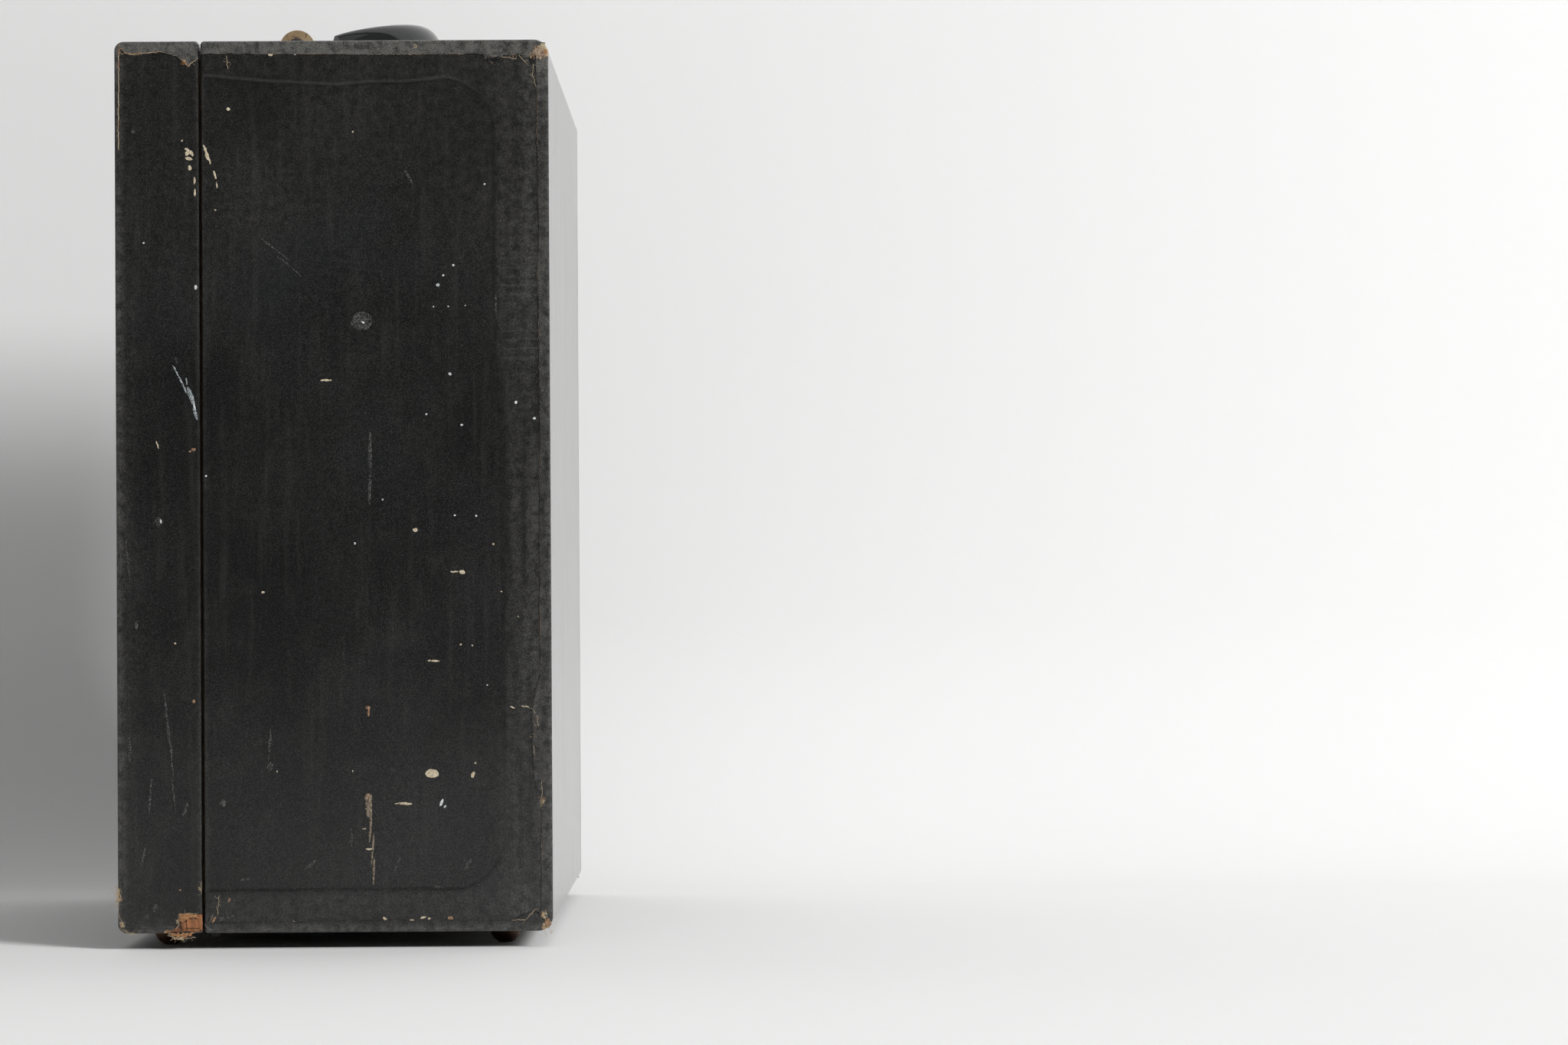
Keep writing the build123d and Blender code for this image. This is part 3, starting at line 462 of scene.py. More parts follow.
finish = {"leathercloth": buildLeathercloth(), "grip": buildGrip()}
for build, table in ((buildCloth, cloths), (buildWood, woods), (buildMetal, metals), (buildPaint, paints)):
    finish.update({name: build(*values) for name, values in table.items()})
finish["clip_steel"] = finish["core_steel"]
print("Finishes ready")


# Covering of each half: a wrapped sheet with laps on both ends, and a sheet on each end

covering = {
    "thickness": 0.42 * mm,
    "foldRadius": 1.0 * mm,
    "rimRadius": 1.5 * mm,
    "rimReach": 6.8 * mm,
    "lapStep": 0.55 * mm,
    "lapColumns": 11,
    "lapLift": 0.22 * mm,
    "frayReach": {"base": 1.5 * mm, "lid": 0.85 * mm},
    "sheetStep": 2.6 * mm,
    "endStep": {"base": 0.7 * mm, "lid": 0.79 * mm},
    "endMargin": 1.3 * mm,
    "endLevel": 0.28 * mm,
    "endDrop": 0.4 * mm,
    "turnIn": 9.0 * mm,
    "turnLevel": 0.8 * mm,
    "turnRadius": 0.9 * mm,
    "tuck": 1.5 * mm,
    "leastLap": 0.2 * mm,
}

# Reach of the laps from each edge, in millimetres, along X for front and back and along Z for the face
lapReach = {
    ("lid", -1): {
        "front": [(-56, 5.4), (-20, 5.8), (30, 6), (65, 5.9), (67, 8.4), (71, 8.8), (74, 6.4),
                  (80, 6.3), (85, 8.4), (93, 7)],
        "face": [(7, 5), (40, 4.8), (60, 4.6), (64, 4.3), (68, 6.8), (75, 8.2), (104, 8.4), (110, 7.2),
                 (118, 4.9), (240, 4.6), (300, 4.8), (380, 5), (389, 6)],
        "back": [(-56, 4.2), (0, 4.9), (74, 4.9), (84, 8.6), (93, 7)],
    },
    ("base", -1): {
        "front": [(-93, 3), (-86.5, 5.8), (-78.5, 4.9), (-73, 4.7), (-66.5, 6.2), (-61.5, 10.8),
                  (-58.5, 8.5), (-57, 7.5)],
        "face": [(7, 2.2), (40, 1.8), (200, 1.7), (389, 2)],
        "back": [(-93, 2.4), (-80, 1.8), (-57, 1.6)],
    },
}
plainReach = {"front": [(0, 5.5)], "face": [(0, 5.4)], "back": [(0, 5.3)]}


def lapDepth(half, side, edge, along):
    points = lapReach.get((half, side), plainReach)[edge]
    values = np.interp(along / mm, [p[0] for p in points], [p[1] for p in points])
    seed = 3 + 7 * side + len(half) + len(edge)
    ragged = 0.22 * softNoise(along / (1.3 * mm), 0.0, seed)
    ragged = ragged + 0.14 * softNoise(along / (0.5 * mm), 9.0, seed)
    slow = 0.25 * softNoise(along / (22 * mm), 4.0, seed)
    return (values + ragged + slow) * mm


def coverPath(half, straightStep, arcSteps):
    # Samples from the rim's inner edge on the front wall, round the half, to that on the back wall.
    turn = toward[half]
    sign = -turn
    rim, face = rimX[half], faceX[half]
    reach = covering["rimReach"]
    corners = [Vector((rim, frontZ - reach)), Vector((rim, frontZ)), Vector((face, frontZ)),
               Vector((face, backZ)), Vector((rim, backZ)), Vector((rim, backZ + reach))]
    radii = [0, covering["rimRadius"], cornerRadius[half], cornerRadius[half], covering["rimRadius"], 0]
    edges = ["rim", "front", "face", "back", "rim"]
    samples = []
    for index in range(5):
        start, stop = corners[index], corners[index + 1]
        direction = (stop - start).normalized()
        normal = Vector((-direction.y, direction.x)) * sign
        first = start + direction * radii[index]
        last = stop - direction * radii[index + 1]
        count = max(2, round((last - first).length / straightStep))
        for step in range(count + (index == 4)):
            samples.append({"point": first.lerp(last, step / count), "normal": normal, "radius": None,
                            "edge": edges[index], "turned": 0.0})
        if index < 4:
            nextDirection = (corners[index + 2] - stop).normalized()
            nextNormal = Vector((-nextDirection.y, nextDirection.x)) * sign
            radius = radii[index + 1]
            centre = last - normal * radius
            for step in range(arcSteps):
                share = step / arcSteps
                angle = share * math.pi / 2
                spoke = normal * math.cos(angle) + nextNormal * math.sin(angle)
                samples.append({"point": centre + spoke * radius, "normal": spoke, "radius": radius,
                                "centre": centre, "diagonal": -(normal + nextNormal),
                                "edge": edges[index], "next": edges[index + 1], "turned": share})
    return samples


def insetPoint(sample, depth):
    # A point of the end face at a depth inside the outline.
    if "rim" in (sample["edge"], sample.get("next")):
        front = sample["point"].y > (frontZ + backZ) / 2
        return Vector((sample["point"].x, frontZ - depth if front else backZ + depth))
    if sample["radius"] is None:
        return sample["point"] - sample["normal"] * depth
    if depth <= sample["radius"]:
        return sample["centre"] + sample["normal"] * (sample["radius"] - depth)
    return sample["centre"] + sample["diagonal"] * (depth - sample["radius"])


def sampleDepth(half, side, sample):
    def onEdge(edge):
        along = sample["point"].y if edge == "face" else sample["point"].x
        return float(lapDepth(half, side, edge, along))
    if sample["edge"] == "rim":
        return onEdge(sample["next"])
    if sample.get("next") == "rim" or sample["radius"] is None:
        return onEdge(sample["edge"])
    share = sample["turned"]
    return onEdge(sample["edge"]) * (1 - share) + onEdge(sample["next"]) * share


# Worn places of each end: x, z, radius, and how far the covering has gone there, in millimetres
wornPlaces = {
    ("lid", -1): [
        (91.5, 384.5, 4.2, 0.9), (86.5, 381.5, 2.2, 0.6), (78, 382, 2.6, 0.5), (70, 381, 3, 0.5),
        (91, 8.5, 3.6, 0.95), (89, 14, 3, 0.6), (88.5, 63, 2.6, 0.6), (88, 100, 3, 0.4),
        (36, 386.5, 1.6, 0.6)],
    ("base", -1): [
        (-91.5, 386, 2.2, 0.45), (-63, 379.8, 2, 0.7), (-67.5, 12, 1.6, 0.7), (-92.5, 22, 2.2, 0.62),
        (-91, 11, 2.4, 0.62), (-72, 7.4, 2, 0.7), (-58, 26, 2, 0.6)],
    ("lid", 1): [
        (90.5, 386, 4.2, 0.9), (91, 9.5, 4.6, 0.95), (20, 387.5, 2.4, 0.5), (91.5, 210, 2.2, 0.5)],
    ("base", 1): [
        (-91, 387, 3.2, 0.8), (-90.5, 9.5, 4.2, 0.9), (-60, 386, 2.4, 0.6)],
}


# Wear along edges: an amount from 0 to 1, and the distances in millimetres where it starts and is full
edgeWear = {
    "edge": (0.75, 5.0, 0.6),
    "besideEdge": (0.22, 14, 2),
    "rim": (0.35, 3.0, 0.0),
    "bareEdge": (0.42, 1.6, 0.3),
    "bareCorner": (0.50, 6, 1.5),
}


def worn(kind, distance):
    amount, start, full = edgeWear[kind]
    return amount * fade(start, full, distance)


def wearMasks(half, points):
    # Bare and rubbed amounts for an array of points of one half's covering.
    x, y, z = points[:, 0], points[:, 1], points[:, 2]
    bare = np.zeros(len(points))
    for side in (-1, 1):
        outward = ((y - side * endY) / mm) ** 2
        for placeX, placeZ, radius, amount in wornPlaces[(half, side)]:
            distance = np.sqrt((x / mm - placeX) ** 2 + (z / mm - placeZ) ** 2 + outward)
            bare = np.maximum(bare, amount * smooth(radius * 1.25, radius * 0.35, distance))
    toFace = np.abs(x - faceX[half])
    toRim = np.abs(x - rimX[half])
    toWall = np.minimum(frontZ - z, z - backZ)
    toEnd = endY - np.abs(y)
    _, toEdge, toCorner = np.sort(np.stack([toFace, toWall, toEnd]), axis=0)
    scuffs = softNoise(x / (9 * mm) + y / (13 * mm), z / (11 * mm), 5)
    rubbed = worn("edge", toEdge) + worn("besideEdge", toEdge) + worn("rim", toRim) + 0.12 * scuffs
    bare = np.maximum(bare, worn("bareEdge", toEdge) * smooth(-0.1, 0.6, scuffs))
    bare = np.maximum(bare, worn("bareCorner", toCorner))
    return {"bare": bare, "rubbed": np.clip(rubbed, 0, 1), "creaseShade": np.zeros(len(points))}


def wrapSheet(half):
    # The sheet itself, between the two end folds.
    samples = coverPath(half, covering["sheetStep"], 8)
    foldY = endY - covering["foldRadius"]
    count = 2 * round(foldY / covering["sheetStep"])
    levels = np.linspace(-foldY, foldY, count + 1)
    points = np.zeros((len(samples), len(levels), 3))
    for row, sample in enumerate(samples):
        across = levels / (34 * mm)
        along = (sample["point"].x + 2 * sample["point"].y) / (29 * mm)
        depth = 0.10 * mm * (0.5 + 0.5 * softNoise(across, along + np.zeros(len(levels)), 8))
        if sample["edge"] != "face" or sample["radius"] is not None:
            depth = depth * 0.3
        edgeFade = fade(0, 6, foldY - np.abs(levels))
        points[row, :, 0] = sample["point"].x - sample["normal"].x * depth * edgeFade
        points[row, :, 1] = levels
        points[row, :, 2] = sample["point"].y - sample["normal"].y * depth * edgeFade
    flat = points.reshape(-1, 3)
    faces = gridFaces(flat, len(samples), len(levels))
    piece = meshPiece(half + "_wrap_sheet", flat, faces, finish["leathercloth"], wearMasks(half, flat))
    thicken(piece, covering["thickness"])
    place(piece, bodyOf[half], "leathercloth", half + "_wrap_covering")


# The covering is torn off here, down to the board: half, side, then x and z from and to, in millimetres
tornAway = {("base", -1): (-67.2, -56.0, 7.3, 15.4)}


def isTorn(half, side, x, z):
    if (half, side) not in tornAway:
        return np.zeros(np.shape(x), bool)
    x0, x1, z0, z1 = tornAway[(half, side)]
    jag = 0.7 * patchNoise(x, z, 1.1, 1.1, 21)
    x, z = x / mm, z / mm
    return (x > x0 + jag) & (x < x1) & (z > z0 + 0.4 * jag) & (z < z1 + jag)


# Wear of the laps, as amounts from 0 to 1: their bared edge, and how rubbed they are by height
lapWear = {
    "bare": {"base": 0.80, "lid": 0.60},
    "patches": {"base": 0.16, "lid": 0.26},
    "keptByFace": {"base": 0.9, "lid": 0.12},
    "keptLow": 0.55,
    "rubbed": 0.38,
    "rubbedTop": 0.72,
    "rubbedLow": -0.20,
    "rubbedPatches": 0.14,
}


def lapStrip(half, side):
    # The fold over an end's edge and the lap glued down beyond it, cut raggedly.
    samples = coverPath(half, covering["lapStep"], 22)
    samples = [s for s in samples if s["edge"] != "rim" or s["radius"] is not None]
    radius = covering["foldRadius"]
    foldY = endY - radius
    foldAngles = [0.0, 0.2, 0.4, 0.6, 0.8, 1.0]
    lapShares = np.linspace(0, 1, covering["lapColumns"])[1:] ** 0.72
    points, bareEdge = [], []
    for row, sample in enumerate(samples):
        depth = max(sampleDepth(half, side, sample), radius + covering["leastLap"])
        point, normal = sample["point"], sample["normal"]
        line = [(point.x, side * (foldY - covering["tuck"]), point.y)]
        tone = [0.0]
        for share in foldAngles:
            angle = share * math.pi / 2
            drop = radius * (1 - math.cos(angle))
            inner = insetPoint(sample, 0.0).lerp(insetPoint(sample, radius), drop / radius)
            pastArc = sample["radius"] is not None and drop >= sample["radius"]
            flatPoint = inner if pastArc else point - normal * drop
            line.append((flatPoint.x, side * (foldY + radius * math.sin(angle)), flatPoint.y))
            tone.append(0.0)
        start = Vector((line[-1][0], line[-1][2]))
        end = insetPoint(sample, depth)
        curl = 0.5 + 0.5 * float(softNoise(row * 0.05, 2.0, 13 + side))
        frayed = (0.5 + 0.35 * float(softNoise(row * 0.11, 5.0, 3 + side))) * covering["frayReach"][half]
        for share in lapShares:
            spot = start.lerp(end, share)
            lift = covering["lapLift"] * share ** 2 * (0.5 + curl)
            line.append((spot.x, side * (endY + lift), spot.y))
            tone.append(max(0.0, 1 - (1 - share) * depth / frayed))
        points.append(line)
        bareEdge.append(tone)
    columns = len(points[0])
    flat = np.array(points).reshape(-1, 3)
    shares = np.array(bareEdge).reshape(-1)
    masks = wearMasks(half, flat)
    x, z = flat[:, 0], flat[:, 2]
    patches = patchNoise(x, z, 6, 6, 31 + side)
    lowEdge = fade(30, 12, z)
    besideFace = fade(12, 8, np.abs(x - faceX[half]))
    faceEdge = besideFace * fade(14, 20, z) * fade(345, 338, z)
    edgeTone = smooth(0.05, 0.8, shares) * (lapWear["bare"][half] + lapWear["patches"][half] * patches)
    edgeTone = edgeTone * (1 - lapWear["keptLow"] * lowEdge) * (1 - lapWear["keptByFace"][half] * faceEdge)
    masks["bare"] = np.maximum(masks["bare"], edgeTone)
    topBand = fade(360, 380, z)
    handled = lapWear["rubbed"] + lapWear["rubbedTop"] * topBand + lapWear["rubbedLow"] * lowEdge
    masks["rubbed"] = np.maximum(masks["rubbed"] * 0.6, handled + lapWear["rubbedPatches"] * patches)
    torn = isTorn(half, side, x, z) & (np.abs(flat[:, 1]) > endY - 0.25 * mm)
    faces = gridFaces(flat, len(points), columns, torn)
    piece = meshPiece(f"{half}_{sideName[side]}_lap", flat, faces, finish["leathercloth"], masks)
    thicken(piece, covering["thickness"])
    place(piece, bodyOf[half], "leathercloth")


# Lines pressed into an end sheet by the strips behind it, in millimetres
pressed = {
    "fromFront": 17.2,
    "fromBack": 18.5,
    "fromFace": {"base": 9.0, "lid": 20.5},
    "faceDrift": {"base": 0.0, "lid": 3.5},
    "cornerRadius": {"base": 8.0, "lid": 22.0},
    "share": {"base": 0.5, "lid": 1.0},
    "strength": {"base": 0.22, "lid": 0.85},
    "groove": 0.06,
    "grooveWidth": 0.8,
    "lip": (0.25, 1.9, 0.9),  # share of the step, where it is, and how wide
    # painted shade laid into the colour along the pressed line: how dark each line is, and where
    "shades": ((1.35, -0.25), (0.3, -2.6)),  # how dark, and where
    "shadeWidth": 0.7,
    "step": 0.24,
    "ribHeight": 0.09,
    "ribPitch": 3.9,
    "sag": [(-56, 1.9), (-27, -0.4), (3, -1.8), (30, -0.6), (49, 1.1), (60, 0.5)],
}


def pressedDistance(half, x, z):
    # Signed distance in millimetres to the pressed line: positive in the outer band.
    turn = -toward[half]
    u = (x - rimX[half]) * turn / mm
    width = abs(faceX[half] - rimX[half]) / mm
    fromFace = pressed["fromFace"][half] + pressed["faceDrift"][half] * fade(100, 360, z)
    top = frontZ / mm - pressed["fromFront"] - z / mm
    low = z / mm - backZ / mm - pressed["fromBack"]
    toRight = width - fromFace - u
    radius = pressed["cornerRadius"][half]
    vertical = np.minimum(top, low)
    inside = np.minimum(vertical, toRight)
    cornerU, cornerV = radius - toRight, radius - vertical
    rounded = radius - np.sqrt(np.maximum(cornerU, 0) ** 2 + np.maximum(cornerV, 0) ** 2)
    inCorner = (cornerU > 0) & (cornerV > 0)
    return -np.where(inCorner, rounded, inside)


def pressedLine(half, side, x, z):
    wander = 0.5 * patchNoise(x, z, 17, 17, 41 + side)
    sag = np.interp(x / mm, [p[0] for p in pressed["sag"]], [p[1] for p in pressed["sag"]])
    sagged = sag * fade(340, 366, z) * (half == "lid")
    return pressedDistance(half, x, z) + wander - sagged


def pressedStrength(half, z):
    strength = 0.12 + 0.48 * fade(40, 90, z) + 0.40 * fade(335, 360, z)
    return strength * pressed["strength"][half]


def endRelief(half, side, x, z):
    distance = pressedLine(half, side, x, z)
    lip, at, width = pressed["lip"]
    lifted = smooth(-0.5, 0.7, distance) + lip * np.exp(-((distance - at) / width) ** 2)
    relief = pressed["step"] * lifted * (0.2 + 0.8 * fade(40, 160, z)) * pressed["share"][half]
    groove = pressed["groove"] * pressedStrength(half, z)
    relief = relief - groove * np.exp(-(distance / pressed["grooveWidth"]) ** 2)
    band = smooth(0.5, 3.0, distance) * fade(200, 260, z) * fade(350, 310, z)
    ripple = z / mm + 0.8 * patchNoise(x, z, 5, 9, 3)
    wave = np.cos(ripple * 2 * math.pi / pressed["ribPitch"])
    patchy = smooth(-0.5, 0.5, patchNoise(z, x, 16, 30, 6))
    relief = relief + pressed["ribHeight"] * wave * band * patchy * (half == "lid")
    relief = relief + 0.06 * patchNoise(x, z, 21, 33, 17 + side)
    return relief * mm


# How much lighter parts of an end sheet are made, as amounts from 0 to 1; all but the last two only on the
# lid
endSheetLightening = {"even": 0.01, "outer": 0.03, "low": 0.10, "besideFace": 0.42, "upper": 0.08, "cloudy": 0.05}


def endSheet(half, side):
    step = covering["endStep"][half]
    margin = covering["endMargin"]
    level = endY - covering["endLevel"]
    rim, face = rimX[half], faceX[half]
    turn = -toward[half]
    radius = covering["turnRadius"]
    zs = np.linspace(backZ + margin, frontZ - margin, round((frontZ - backZ) / step))
    lowY = endY - covering["turnLevel"] - covering["turnIn"]
    columns = [(rim, y, 0.0) for y in np.linspace(lowY, level - radius, 5)]
    for share in (0.25, 0.5, 0.75):
        angle = share * math.pi / 2
        height = level - radius + radius * math.sin(angle)
        columns.append((rim + turn * radius * (1 - math.cos(angle)), height, 0.0))
    start = rim + turn * radius
    count = round(abs(face - turn * margin - start) / step)
    columns += [(x, level, 1.0) for x in np.linspace(start, face - turn * margin, count)]
    columns.append((columns[-1][0], level - covering["endDrop"], 0.0))
    points = np.zeros((len(zs), len(columns), 3))
    for index, (x, y, amount) in enumerate(columns):
        relief = endRelief(half, side, np.full(len(zs), x), zs) * amount
        points[:, index, 0] = x
        points[:, index, 1] = side * (y + relief)
        points[:, index, 2] = zs
    flat = points.reshape(-1, 3)
    masks = wearMasks(half, flat)
    x, z = flat[:, 0], flat[:, 2]
    outer = smooth(0.0, 4.0, pressedDistance(half, x, z))
    upper = fade(250, 330, z)
    cloudy = patchNoise(x, z, 30, 40, 2)
    besideFace = fade(62, 84, x * (1 if half == "lid" else -1))
    bands = 0.6 + 0.4 * patchNoise(x, z, 2.2, 60, 61)
    lighterBy = endSheetLightening["even"] + endSheetLightening["outer"] * outer + endSheetLightening["besideFace"] * besideFace * bands
    lighterBy = lighterBy * (half == "lid") + endSheetLightening["upper"] * upper + endSheetLightening["cloudy"] * cloudy
    lighterBy = lighterBy + endSheetLightening["low"] * outer * fade(32, 20, z) * (half == "lid")
    # Lighter towards the large face, towards the top and in the outer band low down; this goes into the
    # rubbed attribute beside the wear at the edges
    masks["rubbed"] = np.maximum(masks["rubbed"] * 0.5, np.maximum(lighterBy, 0.0))
    masks["bare"] = masks["bare"] * 0.9
    distance = pressedLine(half, side, x, z)
    patchy = 0.62 + 0.38 * patchNoise(x, z, 24, 24, 51 + side)
    # Painted shade along the pressed line, kept in an attribute and laid into the colour
    shade = 0.0
    for dark, at in pressed["shades"]:
        shade = shade + dark * np.exp(-((distance - at) / pressed["shadeWidth"]) ** 2)
    masks["creaseShade"] = shade * patchy * pressedStrength(half, z)
    faces = gridFaces(flat, len(zs), len(columns), isTorn(half, side, x, z))
    end = f"{half}_{sideName[side]}_end"
    piece = meshPiece(end + "_sheet", flat, faces, finish["leathercloth"], masks)
    place(piece, bodyOf[half], "leathercloth", end + "_covering")


for half in ("base", "lid"):
    wrapSheet(half)
    for side in (-1, 1):
        lapStrip(half, side)
        endSheet(half, side)
    print("Covered the", half)


# Rules for what repeats: paint spots, and threads that fray out of an edge

def newGrowth(name, inputs):
    return newTree("GeometryNodeTree", name, {"Geometry": "Geometry", "Material": "Material", **inputs},
                   {"Geometry": "Geometry"})


def finishGrowth(start, end, geometry):
    realised = addNode(end.id_data, "GeometryNodeRealizeInstances", {0: geometry})
    values = {"Geometry": realised, "Material": start["Material"]}
    feed(end, {0: addNode(end.id_data, "GeometryNodeSetMaterial", values)})


def wander(start, geometry, amount, noiseValues, squash=(1.0, 1.0, 1.0)):
    # Points move by noise from -0.5 to 0.5 times an amount, squashed along an axis.
    tree = geometry.id_data
    values = {"Vector": tree.nodes.new("GeometryNodeInputPosition"), "W": start["Seed"], **noiseValues}
    drift = addNode(tree, "ShaderNodeTexNoise", values, noise_dimensions="4D").outputs["Color"]
    centred = addNode(tree, "ShaderNodeVectorMath", {0: drift, 1: (0.5, 0.5, 0.5)}, operation="SUBTRACT")
    squashed = addNode(tree, "ShaderNodeVectorMath", {0: centred, 1: squash}, operation="MULTIPLY")
    sized = addNode(tree, "ShaderNodeVectorMath", {0: squashed, "Scale": amount}, operation="SCALE")
    return addNode(tree, "GeometryNodeSetPosition", {"Geometry": geometry, "Offset": sized})


def buildSpotGrowth():
    tree, start, end = newGrowth("paintSpots", {"Raggedness": 0.6 * mm, "Grain": 900.0, "Seed": 1.0})
    read = {key: addNode(tree, "GeometryNodeInputNamedAttribute", {"Name": key}, data_type="FLOAT")
            for key in ("long", "wide", "thick", "turn")}
    angle = addNode(tree, "ShaderNodeCombineXYZ", {1: read["turn"]})
    scatter = addNode(tree, "GeometryNodeInstanceOnPoints", {
        "Points": addNode(tree, "GeometryNodeMeshToPoints", {0: start["Geometry"]}),
        "Instance": addNode(tree, "GeometryNodeMeshIcoSphere", {"Radius": 1.0, "Subdivisions": 4}),
        "Rotation": addNode(tree, "FunctionNodeEulerToRotation", {0: angle}),
        "Scale": addNode(tree, "ShaderNodeCombineXYZ", {0: read["long"], 1: read["thick"], 2: read["wide"]})})
    solid = addNode(tree, "GeometryNodeRealizeInstances", {0: scatter})
    ragged = wander(start, solid, start["Raggedness"],
                    {"Scale": start["Grain"], "Detail": 3.0, "Roughness": 0.6}, (1.0, 0.02, 1.0))
    finishGrowth(start, end, addNode(tree, "GeometryNodeSetShadeSmooth", {"Geometry": ragged}))
    return tree


def buildThreadGrowth():
    tree, start, end = newGrowth("frayedThreads", {
        "Radius": 0.07 * mm, "Spacing": 0.8 * mm, "Length": 2.0 * mm, "Wobble": 0.6 * mm, "Seed": 1})
    path = addNode(tree, "GeometryNodeMeshToCurve", {0: start["Geometry"]})
    even = addNode(tree, "GeometryNodeResampleCurve", {"Curve": path, "Length": 0.3 * mm}, mode="LENGTH")
    wavy = wander(start, even, start["Wobble"], {"Scale": 700.0, "Detail": 2.0})
    ring = addNode(tree, "GeometryNodeCurvePrimitiveCircle", {"Resolution": 5, "Radius": start["Radius"]})
    thread = addNode(tree, "GeometryNodeCurveToMesh",
                     {"Curve": wavy, "Profile Curve": ring, "Fill Caps": True})
    roots = addNode(tree, "GeometryNodeCurveToPoints", {"Curve": wavy, "Length": start["Spacing"]},
                    mode="LENGTH")
    bend = addNode(tree, "GeometryNodeCurveQuadraticBezier", {
        "Resolution": 7, "Start": (0.0, 0.0, 0.0), "Middle": (0.5, 0.12, 0.5), "End": (1.0, -0.1, -0.15)})
    fibreRing = addNode(tree, "GeometryNodeCurvePrimitiveCircle", {"Resolution": 4, "Radius": 0.024})
    fibre = addNode(tree, "GeometryNodeCurveToMesh",
                    {"Curve": bend, "Profile Curve": fibreRing, "Fill Caps": True})
    spin = addNode(tree, "FunctionNodeRandomValue",
                   {"Min": (-0.5, -3.14, -0.5), "Max": (0.5, 3.14, 0.5), "Seed": start["Seed"]},
                   data_type="FLOAT_VECTOR")
    size = addNode(tree, "FunctionNodeRandomValue", {2: 0.3, 3: 1.1, "Seed": start["Seed"]},
                   data_type="FLOAT")
    scatter = addNode(tree, "GeometryNodeInstanceOnPoints", {
        "Points": roots, "Instance": fibre,
        "Rotation": addNode(tree, "FunctionNodeEulerToRotation", {0: spin}),
        "Scale": times(size.outputs[1], start["Length"])})
    finishGrowth(start, end, addNode(tree, "GeometryNodeJoinGeometry", {0: [scatter, thread]}))
    return tree


def grow(name, source, tree, half, values):
    # Runs a rule on a source mesh and keeps its result as one plain piece.
    piece = newObject(name, source)
    modifier = piece.modifiers.new("growth", "NODES")
    modifier.node_group = tree
    sockets = {item.name: item.identifier for item in tree.interface.items_tree if item.in_out == "INPUT"}
    for key, value in values.items():
        modifier[sockets[key]] = value
    settle(piece)
    place(piece, bodyOf[half], "leathercloth")


spotGrowth = buildSpotGrowth()
threadGrowth = buildThreadGrowth()


# Marks on the end in view. Each kind: paint, thickness and raggedness in millimetres, grain and seed

markLook = {
    "cream_spots": ("cream", 0.06, 1.1, 1100.0, 3),
    "pale_spots": ("pale", 0.06, 0.6, 1100.0, 3),
    "tan_spots": ("tan", 0.06, 1.6, 500.0, 3),
    "scuffs": ("scuff", 0.05, 2.2, 700.0, 7),
    "pale_smear": ("smear", 0.06, 1.4, 1300.0, 3),
    "dried_drip": ("drip", 0.06, 1.5, 1500.0, 3),
}

